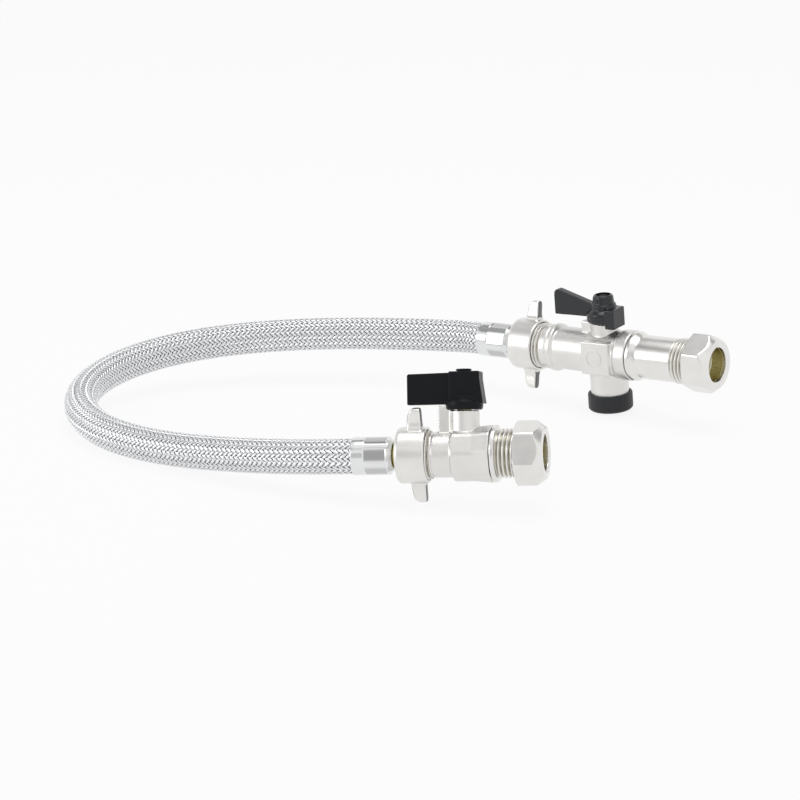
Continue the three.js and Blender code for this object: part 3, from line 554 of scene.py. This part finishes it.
def tubeAlong(points, outer, inner, sides=32):
    bm = bmesh.new()
    normal = Vector((0, 0, 1))
    rows = []
    for i, point in enumerate(points):
        tangent = (points[min(i + 1, len(points) - 1)] - points[max(i - 1, 0)]).normalized()
        normal = (normal - tangent * normal.dot(tangent)).normalized()
        side = tangent.cross(normal)
        row = []
        for radius in (outer, inner):
            row.append([bm.verts.new(point + (normal * math.cos(a) + side * math.sin(a)) * radius)
                        for a in (2 * math.pi * k / sides for k in range(sides))])
        rows.append(row)
    last = len(points) - 1
    for k in range(sides):
        j = (k + 1) % sides
        for one, two in zip(rows, rows[1:]):
            bm.faces.new((one[0][k], one[0][j], two[0][j], two[0][k]))
            bm.faces.new((one[1][k], two[1][k], two[1][j], one[1][j]))
        bm.faces.new((rows[0][0][k], rows[0][1][k], rows[0][1][j], rows[0][0][j]))
        bm.faces.new((rows[last][0][k], rows[last][0][j], rows[last][1][j], rows[last][1][k]))
    return meshOf(bm, "tube")


def makeHose(s):
    tree = braidTree()
    line = lineObject(hoseLine, "hoseLine")
    mean = s.radius - s.swing - s.strandHeight / 2
    strands = []
    for name, direction in (("braidRight", 1.0), ("braidLeft", -1.0)):
        strands.append(grown(line, tree, {
            "Strands": s.strands, "Direction": direction, "Radius": mean * mm,
            "Lay": s.lay * mm, "Width": s.strandWidth * mm,
            "Height": s.strandHeight * mm, "Swing": s.swing * mm,
            "Line Length": hoseLength, "Steps": int(hoseLength / mm / s.lay * s.perTurn),
            "Material": paint["braidWire"]}, name))
    bpy.data.objects.remove(line, do_unlink=True)
    # a dark sleeve under the braid: painted shade seen in the gaps between the strands
    core = tubeAlong(hoseLine, s.core * mm, (s.core - s.coreWall) * mm)
    still = Matrix.Identity(4)
    braid = finished(strands[0], "hoseBraidRight", still, "hose", ["hose_braid"],
                     paint["braidWire"], 0)
    partner = finished(strands[1], "hoseBraidLeft", still, "hose", [], paint["braidWire"], 0)
    sleeve = finished(core, "hoseBraidShadow", still, "hose", [], paint["braidShade"], 60)
    print("hose made:", round(hoseLength, 4), "m,", len(braid.data.polygons), "faces a layer")


makeHose(hoseSizes)

# crimped ferrules
ferruleSizes = SimpleNamespace(
    radius=8.0, length=17.5, crimpStart=5.6, crimpEnd=15.2, flats=15.2, coneRadius=6.0, mouth=7.72,
    mouthDepth=3.0, bore=4.3)


def makeFerrule(name, end, s):
    def radius(station):
        ramp = min(1.0, max(0.0, (station - s.crimpStart) / 0.5 + 0.5))
        ramp = min(ramp, min(1.0, max(0.0, (s.crimpEnd - station) / 0.5 + 0.5)))

        def at(angle):
            flat = hexagon(s.flats, angle, 6, 0.3)
            return s.radius + (smoothLess(flat, s.radius, 0.5) - s.radius) * ramp

        return at

    rings = [(s.mouthDepth, s.bore), (s.mouthDepth, s.mouth), (0.15, s.mouth), (0.0, s.mouth + 0.1),
             (0.0, s.radius - 0.12), (0.12, s.radius - 0.03)]
    stations = [0.3, 2.0, 4.0] + [s.crimpStart + d * 0.1 - 0.4 for d in range(9)]
    stations += [8.0, 10.5, 13.0] + [s.crimpEnd + d * 0.1 - 0.4 for d in range(7)]
    rings += [(station, radius(station)) for station in stations]
    cone = [(s.crimpEnd + 0.35, s.radius), (s.length - 0.1, s.coneRadius + 0.1, 0.3),
            (s.length, s.coneRadius - 0.3), (s.length, s.bore)]
    rings += eased(cone)

    def shadedFlats(place, normal):
        # where the crimping tool bore on them the flats are painted darker, a painted darker reflection
        inside = s.crimpStart + 0.2 < place.x < s.crimpEnd - 0.2
        return min(1.0, max(0.0, (s.radius - place.yz.length) / 0.3)) * inside

    finished(withPaintedShade(skin(rings, 144), shadedFlats), name, placing(end, end.crimp), "hose",
             [name.replace("Ferrule", "_ferrule")], paint["chrome"], 50)


makeFerrule("nearFerrule", nearEnd, ferruleSizes)
makeFerrule("farFerrule", farEnd, ferruleSizes)

# tails and washers inside the wing nuts
tailSizes = SimpleNamespace(
    start=1.5, insert=3.6, neck=5.5, flange=9.7, bore=2.7, neckStart=17.8, flangeStart=22.3, end=24.7)
washerSizes = SimpleNamespace(
    start=25.0, end=26.8, inside=4.6, outside=9.4)


def makeTail(side, end, t, w):
    profile = [(t.start, t.bore), (t.start, t.insert, 0.4), (t.neckStart, t.insert),
               (t.neckStart, t.neck, 0.3), (t.flangeStart, t.neck, 0.4),
               (t.flangeStart, t.flange, 0.3), (t.end, t.flange, 0.3), (t.end, t.bore)]
    finished(skin(eased(profile)), side + "HoseTail", placing(end, 0), "hose",
             [side + "_hose_tail"], paint["brass"])
    washer = [(w.start, w.inside), (w.start, w.outside, 0.3), (w.end, w.outside, 0.3),
              (w.end, w.inside)]
    finished(skin(eased(washer)), side + "Washer", placing(end, 0), "hose",
             [side + "_washer"], paint["rubber"])


makeTail("near", nearEnd, tailSizes, washerSizes)
makeTail("far", farEnd, tailSizes, washerSizes)

# wing nuts
wingNutSizes = SimpleNamespace(
    start=19.5, length=12.8, radius=11.75, cavity=10.75, hole=5.9, wall=2.5, wingStart=4.6, wingLength=6.3,
    tip=20.4, thickness=3.6, root=7.0, rootHeight=3.0)


def wingBlade(s, side):
    x0 = s.start + s.wingStart
    x1 = x0 + s.wingLength
    base = s.radius - 1.5
    levels = [(base, 1.0, 0), (s.radius + 0.4, 0.62, 0), (s.radius + 1.6, 0.2, 0.05),
              (s.radius + s.rootHeight, 0.0, 0.1), (s.tip - 3.4, 0.0, 0.35),
              (s.tip - 1.6, -0.02, 1.0), (s.tip - 0.5, -0.12, 2.0), (s.tip, -0.35, 2.9)]
    bm = bmesh.new()
    rows = []
    for z, flare, lean in levels:
        wide = s.thickness + (s.root - s.thickness) * flare
        left, right = x0 + lean, x1 - max(0.0, -flare) * 1.2
        soft = min(0.7, wide * 0.3)
        half, bevel = wide / 2, soft * 0.3
        outline = [(left, half - soft), (left + bevel, half - bevel), (left + soft, half),
                   (right - soft, half), (right - bevel, half - bevel), (right, half - soft)]
        ring = outline + [(x, -y) for x, y in reversed(outline)]
        rows.append([bm.verts.new((x, y * side, z * side)) for x, y in ring])
    count = len(rows[0])
    for one, two in zip(rows, rows[1:]):
        for k in range(count):
            bm.faces.new((one[k], one[(k + 1) % count], two[(k + 1) % count], two[k]))
    bm.faces.new(rows[0])
    bm.faces.new(list(reversed(rows[-1])))
    return meshOf(bm, "wing")


def makeWingNut(side, end, s):
    a, b = s.start, s.start + s.length
    shell = [(a, s.hole, 0), (a, s.radius - 0.6, 1.5), (a + 0.9, s.radius, 1.5),
             (b - 0.35, s.radius, 0.5), (b, s.radius - 0.35, 0.3), (b, s.cavity + 0.1),
             (b - 0.3, s.cavity - 0.15), (a + s.wall, s.cavity - 0.15),
             (a + s.wall, s.hole)]
    blades = [wingBlade(s, 1), wingBlade(s, -1)]
    mesh = fused([skin(eased(shell), 128)] + blades, side + "WingNut", 0.27, 4)

    def shadedSides(place, normal):
        # the narrow sides of the wings are painted dark grey as shade
        return min(1.0, max(0.0, (place.yz.length - s.radius - 0.6) / 0.8)
                   * max(0.0, (abs(normal.x) - 0.6) / 0.3))

    withPaintedShade(mesh, shadedSides)
    finished(mesh, side + "WingNut", placing(end, end.nut), side + "_wing_nut",
             [side + "_wing_nut"], paint["nickelWing"], 0)


makeWingNut("near", nearEnd, wingNutSizes)
makeWingNut("far", farEnd, wingNutSizes)
print("hose ends made")

# compression nuts and olives, placed by where the pipes stop, from the hose-side face of each valve
pipeStops = {"near": 48.1, "far": 91.6}
pipeBore, pipeMouth, mouthDepth = 7.7, 9.2, 1.6
oliveSizes = SimpleNamespace(
    behind=0.75, rise=0.3, fall=3.8, ahead=4.85, inside=7.62, edge=7.95, outside=9.0)
compressionSizes = SimpleNamespace(
    across=24.0, length=12.6, nose=10.8, bore=pipeBore, mouth=8.3, clear=10.75, engage=5.5,
    hexEnd=8.6)


def makeCompressionNut(side, end, station, s, o):
    start = spigotFace + station - s.engage
    front = start + s.length
    corner = s.across / 2 / math.cos(math.pi / 6)

    def limit(x):
        lead = corner - 1.1 + (x - start) * 1.9
        nose = corner + 0.05 - 0.95 * max(0.0, x - start - s.hexEnd) ** 0.85
        return min(lead, nose)

    def outline(x):
        return lambda angle: smoothLess(hexagon(s.across, angle, 6, 0.25), limit(x), 0.35)

    stations = [start, start + 0.12, start + 0.3, start + 0.5, start + 0.8, start + 1.2, start + 2.4,
                start + 4.0, start + 5.6] + [start + 6.2 + 0.25 * k for k in range(25)]
    stations = [x for x in stations if x < front - 0.35]
    rings = [(start, s.clear), (start, s.nose + 0.6)]
    rings += [(x, outline(x)) for x in stations]
    lip = limit(front - 0.4)
    rings += eased([(front - 0.35, lip - 0.05), (front, lip - 0.9, 0.5), (front, s.mouth + 0.2, 0.2),
                    (front - 0.6, s.bore, 0.3), (start + 7.4, s.bore),
                    (start + 5.9, s.clear), (start, s.clear)])[:-1]
    nodeName = side + "_compression_nut"
    finished(skin(rings, 192), side + "CompressionNut", placing(end, end.hexagon), nodeName,
             [nodeName], paint["nickelTurned"], 40)
    face = spigotFace + station
    olive = [(face - o.behind, o.inside), (face - o.behind, o.edge), (face + o.rise, o.outside, 0.3),
             (face + o.fall, o.outside, 0.3), (face + o.ahead, o.edge), (face + o.ahead, o.inside)]
    finished(skin(eased(olive)), side + "Olive", placing(end, 0), side + "_olive",
             [side + "_olive"], paint["brass"])


makeCompressionNut("near", nearEnd, pipeStops["near"], compressionSizes, oliveSizes)
makeCompressionNut("far", farEnd, pipeStops["far"], compressionSizes, oliveSizes)
print("compression nuts made")

# near valve: a casting with flats and a stem boss, and the screwed-in end piece
threadRadius, threadDepth = 10.48, 0.95
# radii of the holes for a stem's collar, for the stem and for the screw of the lever
collarHole, stemHole, screwHole, screwLip = 4.6, 3.35, 1.95, 1.2
nearSizes = SimpleNamespace(
    threadLength=6.9, barrelStart=7.8, barrel=9.6, flatsStart=16.0, flatsEnd=25.1, across=21.6,
    flareAcross=23.0, seam=32.6, rim=12.0, rimEnd=34.9, end=pipeStops["near"], stemX=20.5, way=4.2,
    cavity=7.0, boss=6.35, bossTop=18.2, ribReach=10.6, ribHalf=3.2, ribTop=20.4)


def stemBoss(s, bottom):
    top = s.bossTop
    boss = upright(skin(eased([(bottom, 0), (bottom, s.boss), (top, s.boss, 0.5), (top, 0)]), 72))
    rib = box((-s.ribReach, -s.boss + 2), (-s.ribHalf, s.ribHalf), (bottom, s.ribTop))
    return [moved(boss, s.stemX), moved(rib, s.stemX)]


def stemPassage(s):
    seat, top = s.cavity + 1.9, s.bossTop + 1
    hole = [(0, 0), (0, collarHole), (seat, collarHole), (seat, stemHole), (top, stemHole), (top, 0)]
    return moved(upright(skin(hole, 48)), s.stemX)


def makeNearBody(s):
    start = placing(nearEnd, nearEnd.valve, spigotFace)
    root = threadRadius - threadDepth
    barrel = [(0, 0), (0, root), (s.threadLength, root), (s.threadLength, 9.3, 0.2),
              (s.barrelStart, 9.3, 0.1), (s.barrelStart, s.barrel, 0.3),
              (s.flatsStart + 2, s.barrel), (s.flatsStart + 2, 0)]

    def flats(across, soften=0.35):
        return lambda angle: hexagon(across, angle + math.pi / 8, 8, soften)

    a, b, c = s.flatsStart, s.flatsEnd, s.seam
    bulk = skin([(a, 0), (a, flats(s.across - 0.8)), (a + 0.5, flats(s.across)),
                 (b, flats(s.across)), (c - 0.1, flats(s.flareAcross)), (c, flats(22.6)), (c, 0)],
                128)
    solid = fused([skin(eased(barrel), 96), bulk] + stemBoss(s, 7.0), "casting", 0.3, 5)
    bore = skin([(-1, 0), (-1, s.way), (13, s.way), (13, s.cavity),
                 (c - 4.8, s.cavity), (c - 4.8, 8.9), (c + 1, 8.9), (c + 1, 0)], 64)
    solid = carved(solid, [bore, stemPassage(s)])
    screwed = thread(0.3, s.threadLength, threadRadius, threadDepth, core=root - 1.0)
    finished(together([solid, screwed], "nearBody"), "nearValveBody", start, "near_valve",
             ["near_valve_body"], paint["nickelCast"], 55)
    rings = eased([(c - 4.5, s.way), (c - 4.5, 8.6, 0.3), (c + 0.3, 8.6), (c + 0.3, s.rim - 0.2, 0.3),
                   (c + 0.7, s.rim, 0.3), (s.rimEnd - 0.3, s.rim, 0.3),
                   (s.rimEnd, s.rim - 0.4, 0.2), (s.rimEnd, root, 0.1),
                   (s.end, root), (s.end, pipeMouth), (s.end - mouthDepth, pipeBore),
                   (s.end - 11.7, pipeBore), (s.end - 11.7, s.way)])
    tail = thread(s.rimEnd + 0.2, s.end - 0.2, threadRadius, threadDepth, core=root - 0.6)
    finished(together([skin(rings, 96), tail], "endPiece"), "nearEndPiece", start, "near_valve",
             ["near_end_piece"], paint["nickelTurned"], 45)


makeNearBody(nearSizes)
print("near valve made")

# near lever: a hub over the stem with a flat paddle towards the hose
nearLeverSizes = SimpleNamespace(
    hubLeft=5.7, hubRight=7.3, hubHalf=4.3, top=34.6, bottom=18.5, skirt=8.0, skirtTop=22.8, clearTop=20.7,
    reach=24.0, paddleBottom=20.9, paddleTop=33.9, paddle=4.0, screwSeat=28.9, recess=3.1)


def leverPassage(s, segments):
    # room for the stem from below and for the screw's head from above, with a lip between them
    low, seat, top = s.bottom - 1, s.screwSeat, s.top + 1
    holes = [(low, 0), (low, stemHole), (seat - screwLip, stemHole), (seat - screwLip, screwHole),
             (seat, screwHole), (seat, s.recess), (top, s.recess), (top, 0)]
    return upright(skin(holes, segments))


def makeNearLever(s):
    start = placing(nearEnd, nearEnd.valve, spigotFace + nearSizes.stemX)
    skirt = upright(skin(eased([
        (s.bottom, 0), (s.bottom, s.skirt - 0.4, 0.6),
        (s.bottom + 1.2, s.skirt, 0.6), (s.skirtTop - 1, s.skirt, 0.6),
        (s.skirtTop + 1, 5.4, 0.6), (s.skirtTop + 1, 0)]), 96))
    # the skirt is cut away over a quarter turn, so that it clears the rib on the boss
    side, past = nearSizes.ribHalf + 0.3, 12.0
    low, high = s.bottom - 1, s.clearTop
    skirt = carved(skirt, [box((-past, 0), (-side, past), (low, high)),
                           box((-0.1, side), (0, past), (low, high))])
    floor = s.clearTop + 0.4
    top, left, right, reach = s.top, -s.hubLeft, s.hubRight, -s.reach
    hub = plate([(left, floor), (right + 1.5, floor), (right, top - 3), (right, top - 0.4),
                 (right - 0.4, top), (left, top)], 2 * s.hubHalf)
    under, over = s.paddleBottom, s.paddleTop
    paddle = plate([(reach, under + 0.4), (reach + 0.4, under), (0, under), (0, top - 0.4), (left, top - 0.4),
                    (reach + 0.5, over), (reach, over - 0.5)], s.paddle)
    solid = fused([skirt, hub, paddle], "lever", 0.22, 4)
    solid = carved(solid, [leverPassage(s, 48)])
    finished(solid, "nearLever", start, "near_lever", ["near_lever"], paint["blackGloss"],
             50)
    top += 0.3
    plug = upright(skin(eased([(top - 2.9, 0), (top - 2.9, 2.7, 0.3), (top, 2.7), (top, 3.3, 0.1),
                               (top + 0.8, 3.3, 0.5), (top + 0.8, 0)]), 64))
    finished(plug, "nearLeverPlug", start, "near_lever", ["near_lever_plug"],
             paint["blackGloss"], 50)


makeNearLever(nearLeverSizes)

# far valve: barrel, square pad, test port and the screwed-in housing of the check valves
farSizes = SimpleNamespace(
    threadLength=8.8, neck=10.3, groove=9.6, collarStart=12.9, collarEnd=15.2, collar=11.0, barrel=9.9,
    blockStart=33.3, blockEnd=47.8, block=10.9, padReach=11.6, padHalf=7.7, rimStart=50.0, rim=11.5,
    seam=55.6, stemX=39.8, way=4.6, cavity=7.8, boss=6.35, bossTop=14.7, ribReach=10.6, ribHalf=3.2,
    ribTop=14.7, port=8.75, portX=40.6, portEnd=22.6, portBore=4.0)
housingSizes = SimpleNamespace(
    collar=11.3, collarLength=2.0, taperEnd=4.6, radius=10.0, threadStart=22.8, end=36.0, way=5.0)


def makeFarBody(s, housing):
    start = placing(farEnd, farEnd.valve, spigotFace)
    root = threadRadius - threadDepth
    barrel = eased([
        (0, 0), (0, root), (s.threadLength - 0.2, root), (s.threadLength, s.neck, 0.2),
        (s.collarStart - 0.8, s.neck, 0.2), (s.collarStart - 0.7, s.groove),
        (s.collarStart - 0.1, s.groove), (s.collarStart, s.collar, 0.3), (s.collarEnd, s.collar, 0.4),
        (s.collarEnd + 0.8, s.barrel, 0.4), (s.blockStart - 0.3, s.barrel, 0.2),
        (s.blockStart, s.block, 0.2), (s.rimStart - 0.8, s.block, 0.3),
        (s.rimStart, s.rim, 0.3), (s.seam - 0.3, s.rim, 0.3),
        (s.seam, s.rim - 0.3), (s.seam, 0)])
    pad = box((s.blockStart, s.blockEnd), (-s.padReach, s.padReach), (-s.padHalf, s.padHalf))
    port = moved(upright(skin([(-s.portEnd, 0), (-s.portEnd, s.port), (0, s.port), (0, 0)], 72)), s.portX)
    solid = fused([skin(barrel, 96), pad, port] + stemBoss(s, 7.0), "casting", 0.3, 5)
    seam = s.seam
    bore = skin([(-1, 0), (-1, s.way), (31.5, s.way), (31.5, s.cavity),
                 (seam - 7.8, s.cavity), (seam - 7.8, 9.3), (seam + 1, 9.3), (seam + 1, 0)], 64)
    drain = moved(upright(skin([(-s.portEnd - 1, 0), (-s.portEnd - 1, s.portBore),
                                (0, s.portBore), (0, 0)], 48)), s.portX)
    solid = carved(solid, [bore, stemPassage(s), drain])
    screwed = thread(0.3, s.threadLength, threadRadius, threadDepth, core=root - 1.0)
    ring = skin(eased([(0.3, 3.45), (-0.25, 3.55, 0.08), (-0.25, 4.1, 0.08), (0.3, 4.2)]), 72)
    onPad = Matrix.Translation((s.stemX, -s.padReach, 0))
    ring.transform(onPad @ Matrix.Rotation(math.pi / 2, 4, "Z"))
    finished(together([solid, screwed, ring], "farBody"), "farValveBody", start, "far_valve",
             ["far_valve_body"], paint["nickelCast"], 55)
    end = seam + housing.end
    threadStart = seam + housing.threadStart
    rings = eased([(seam - 7.5, housing.way), (seam - 7.5, 9.0, 0.3), (seam + 0.3, 9.0),
                   (seam + 0.3, housing.collar - 0.2, 0.3), (seam + 0.6, housing.collar, 0.4),
                   (seam + housing.collarLength, housing.collar, 0.6),
                   (seam + housing.taperEnd, housing.radius, 1.0),
                   (threadStart - 0.1, housing.radius, 0.2), (threadStart + 0.2, root, 0.2), (end, root),
                   (end, pipeMouth), (end - mouthDepth, pipeBore), (seam + 2.2, pipeBore),
                   (seam + 2.2, housing.way)])
    tail = thread(threadStart, end - 0.2, threadRadius, threadDepth, core=root - 0.6)
    finished(together([skin(rings, 96), tail], "housing"), "farCheckHousing", start, "far_valve",
             ["far_check_housing"], paint["nickelTurned"], 45)


makeFarBody(farSizes, housingSizes)
print("far valve made")

# far lever: stepped hub with a screw in its recess, paddle and stop tab
farLeverSizes = SimpleNamespace(
    bottom=15.0, ring=8.0, ringTop=20.5, collar=5.8, collarTop=23.6, cap=4.7, top=27.5, recess=3.5,
    screwSeat=23.8, reach=25.5, paddleBottom=16.4, tip=11.9, root=6.4, paddle=3.6,
    tab=((4.2, 8.9), (-6.8, 3.5), (13.0, 22.0)))


def makeFarLever(s):
    start = placing(farEnd, farEnd.valve, spigotFace + farSizes.stemX)
    hub = upright(skin(eased([
        (s.bottom, 0), (s.bottom, s.ring - 0.4, 0.4), (s.bottom + 0.6, s.ring, 0.5),
        (s.ringTop - 1, s.ring, 0.8), (s.ringTop, s.ring - 1.4, 0.5), (s.ringTop + 0.5, s.collar, 0.3),
        (s.collarTop - 0.5, s.collar, 0.4), (s.collarTop, s.cap + 0.3, 0.3),
        (s.top - 0.8, s.cap, 0.5), (s.top, s.cap - 0.6, 0.3), (s.top, 0)]), 96))
    tab = carved(box(*s.tab), [upright(skin([(10, 0), (10, 7.0), (15.1, 7.0), (15.1, 0)], 64))])
    low = s.paddleBottom
    paddle = plate([(-s.reach, low), (0, low + 0.4), (0, low + s.root + 0.6),
                    (-s.collar, low + s.root + 0.4), (-s.reach + 2.4, low + s.tip),
                    (-s.reach + 1.2, low + s.tip - 0.2), (-s.reach + 0.3, low + s.tip - 1.2),
                    (-s.reach, low + s.tip - 2.6)], s.paddle)
    solid = fused([hub, tab, paddle], "lever", 0.22, 12)
    solid = carved(solid, [leverPassage(s, 64)])
    finished(solid, "farLever", start, "far_lever", ["far_lever"],
             paint["blackSatin"], 50)


makeFarLever(farLeverSizes)


def makeScrew(side, end, stemX, seat, body):
    low = seat + 0.3
    head = upright(skin(eased([(low - 7.5, 0), (low - 7.5, 1.6, 0.3), (low, 1.6), (low, 2.8, 0.2),
                               (low + 1.3, 2.8, 0.5), (low + 1.9, 1.9, 0.4), (low + 1.9, 0)]), 64))
    slots = [box((-1.7, 1.7), (-0.35, 0.35), (low + 0.9, low + 3)),
             box((-0.35, 0.35), (-1.7, 1.7), (low + 0.9, low + 3))]
    finished(carved(head, slots), side + "LeverScrew", placing(end, end.valve, spigotFace + stemX), body,
             [side + "_lever_screw"], paint["chrome"], 40)


makeScrew("near", nearEnd, nearSizes.stemX, nearLeverSizes.screwSeat, "near_lever")
makeScrew("far", farEnd, farSizes.stemX, farLeverSizes.screwSeat, "far_lever")
print("levers made")

# ribbed cap of the test port
capSizes = SimpleNamespace(
    radius=10.3, top=18.6, bottom=26.7, floor=1.9, inside=9.05, ribs=44, ribWidth=0.7, ribHeight=0.14)


def ribTree():
    # upright ribs spaced evenly round a circle
    tree, g, result = nodeGroup("capRibs", "GeometryNodeTree", {
        "Geometry": "Geometry", "Count": 40, "Radius": 10.0, "Low": -26.0, "High": -19.0, "Width": 0.8,
        "Thickness": 0.8, "Material": "Material"}, {"Geometry": "Geometry"})
    add, calc = partial(node, tree), partial(maths, tree)
    ring = add("GeometryNodeCurvePrimitiveCircle", [("Resolution", g["Count"]), ("Radius", g["Radius"])],
               mode="RADIUS")
    size = add("ShaderNodeCombineXYZ", [
        ("X", g["Thickness"]), ("Y", g["Width"]), ("Z", calc("SUBTRACT", g["High"], g["Low"]))])
    bar = add("GeometryNodeMeshCube", [("Size", size.outputs[0])])
    middle = add("ShaderNodeCombineXYZ", [("Z", calc("MULTIPLY", calc("ADD", g["High"], g["Low"]), 0.5))])
    raised = add("GeometryNodeTransform", [("Geometry", bar.outputs[0]), ("Translation", middle.outputs[0])])
    spots = add("GeometryNodeCurveToPoints", [("Curve", ring.outputs[0])], mode="EVALUATED")
    place = add("GeometryNodeInputPosition").outputs[0]
    parts = add("ShaderNodeSeparateXYZ", [("Vector", place)]).outputs
    turn = add("ShaderNodeCombineXYZ", [("Z", calc("ARCTAN2", parts["Y"], parts["X"]))])
    placed = add("GeometryNodeInstanceOnPoints", [
        ("Points", spots.outputs[0]), ("Instance", raised.outputs[0]), ("Rotation", turn.outputs[0])])
    real = add("GeometryNodeRealizeInstances", [("Geometry", placed.outputs[0])])
    coated = add("GeometryNodeSetMaterial", [("Geometry", real.outputs[0]), ("Material", g["Material"])])
    tree.links.new(coated.outputs[0], result["Geometry"])
    return tree


def makeCap(s):
    rim = s.radius - s.ribHeight
    low, high, floor = -s.bottom, -s.top, -s.bottom + s.floor
    shell = upright(skin(eased([
        (low, 0), (low, rim - 0.9, 0.7), (low + 0.9, rim, 0.7), (high, rim, 0.4), (high, s.inside),
        (floor, s.inside), (floor, 0)]), 120))
    seed = linked(bpy.data.meshes.new("ribs"))
    ribs = grown(seed, ribTree(), {
        "Count": s.ribs, "Radius": rim - 0.1, "Low": low + 1.0, "High": high - 0.5,
        "Width": s.ribWidth, "Thickness": 2 * s.ribHeight + 0.1, "Material": paint["capPlastic"]}, "ribs")
    bpy.data.objects.remove(seed, do_unlink=True)
    cap = fused([shell, ribs], "cap", 0.2, 2)
    finished(cap, "portCap", placing(farEnd, farEnd.valve, spigotFace + farSizes.portX), "port_cap",
             ["port_cap"], paint["capPlastic"], 0)


makeCap(capSizes)
print("cap made")

# the pieces inside keep their frame shape and take a finish
innerFinishes = {
    "chrome": ("near_ball", "far_ball", "check_valve_clip", "inner_check_spring", "outer_check_spring"),
    "whitePlastic": ("near_seat_inner", "near_seat_outer", "far_seat_inner", "far_seat_outer",
                     "inner_check_cage", "outer_check_cage", "inner_check_poppet", "outer_check_poppet"),
    "brass": ("near_stem", "far_stem"),
    "rubber": ("near_stem_o_ring", "far_stem_o_ring", "port_cap_seal", "hose_liner"),
}
for finishName, nodeNames in innerFinishes.items():
    for nodeName in nodeNames:
        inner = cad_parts[nodeName]
        inner.data.materials.clear()
        inner.data.materials.append(paint[finishName])


# studio: pale floor, white surroundings and two soft lamps
def makeFloor(size=8.0, grey=0.94, lit=0.88):
    bm = bmesh.new()
    bmesh.ops.create_grid(bm, x_segments=1, y_segments=1, size=size / 2)
    mesh = meshOf(bm, "floor")
    floor = linked(mesh)
    material = bpy.data.materials.new("paleFloor")
    material.use_nodes = True
    tree = material.node_tree
    tree.nodes.remove(tree.nodes["Principled BSDF"])
    path = node(tree, "ShaderNodeLightPath").outputs
    seen = maths(tree, "MAXIMUM", maths(tree, "MAXIMUM", path["Is Camera Ray"], path["Is Glossy Ray"]),
                 path["Is Transmission Ray"])
    matt = node(tree, "ShaderNodeBsdfDiffuse", [("Color", (grey, grey, grey, 1))])
    glow = node(tree, "ShaderNodeEmission", [("Color", (1, 1, 1, 1)), ("Strength", 1.0)])
    share = maths(tree, "MULTIPLY", seen, lit)
    mixed = node(tree, "ShaderNodeMixShader", [
        (0, share), (1, matt.outputs[0]), (2, glow.outputs[0])])
    tree.links.new(mixed.outputs[0], tree.nodes["Material Output"].inputs["Surface"])
    mesh.materials.append(material)


# how bright the surroundings are, and where they darken in a reflection
worldLook = SimpleNamespace(
    gapHeight=0.76, gapCore=0.04, gapReach=0.13, gapDepth=0.62, darkWay=(-0.388, -0.86, 0.331),
    darkReach=0.94, darkCore=0.985, darkDepth=0.34, mirrored=0.97, diffuse=0.6)


def makeWorld(look):
    world = bpy.data.worlds.new("studio")
    bpy.context.scene.world = world
    world.use_nodes = True
    tree = world.node_tree
    add, calc = partial(node, tree), partial(maths, tree)

    def easing(value, low, high, start, end):
        return add("ShaderNodeMapRange", [
            ("Value", value), ("From Min", low), ("From Max", high), ("To Min", start), ("To Max", end)],
            interpolation_type="SMOOTHSTEP").outputs[0]

    path = add("ShaderNodeLightPath").outputs
    way = add("ShaderNodeTexCoord").outputs["Generated"]
    # reflections show a dark gap between the high and the low soft lights, and a dark patch in front
    parts = add("ShaderNodeSeparateXYZ", [("Vector", way)]).outputs
    offset = calc("ABSOLUTE", calc("SUBTRACT", parts["Z"], look.gapHeight))
    behind = easing(parts["Y"], -0.6, -0.2, 0.0, look.gapDepth)
    gap = calc("MULTIPLY", easing(offset, look.gapCore, look.gapReach, 1.0, 0.0), behind)
    toPatch = add("ShaderNodeVectorMath", [(0, way), (1, Vector(look.darkWay))], operation="DOT_PRODUCT")
    dark = easing(toPatch.outputs["Value"], look.darkReach, look.darkCore, 0.0, look.darkDepth)
    kept = calc("MULTIPLY", calc("SUBTRACT", 1.0, gap), calc("SUBTRACT", 1.0, dark))
    mirrored = add("ShaderNodeMix", [("Factor", path["Is Glossy Ray"])], data_type="FLOAT")
    mirrored.inputs["A"].default_value = look.diffuse
    tree.links.new(calc("MULTIPLY", kept, look.mirrored), mirrored.inputs["B"])
    level = add("ShaderNodeMix", [("Factor", path["Is Camera Ray"])], data_type="FLOAT")
    tree.links.new(mirrored.outputs[0], level.inputs["A"])
    level.inputs["B"].default_value = 1.0
    ground = tree.nodes["Background"]
    ground.inputs["Color"].default_value = (1, 1, 1, 1)
    tree.links.new(level.outputs[0], ground.inputs["Strength"])


def makeLamp(name, place, aim, size, watts):
    data = bpy.data.lights.new(name, "AREA")
    data.shape = "DISK"
    data.size = size
    data.energy = watts
    lamp = linked(data, name)
    lamp.location = place
    lamp.rotation_euler = (Vector(aim) - Vector(place)).to_track_quat("-Z", "Y").to_euler()


makeFloor()
makeWorld(worldLook)
makeLamp("topLamp", (0.0, 0.1, 1.1), (0, 0, 0), 0.75, 2.9)
makeLamp("sideLamp", (-1.25, -0.4, 0.4), (0, 0, 0), 0.7, 3.0)
print("studio made")
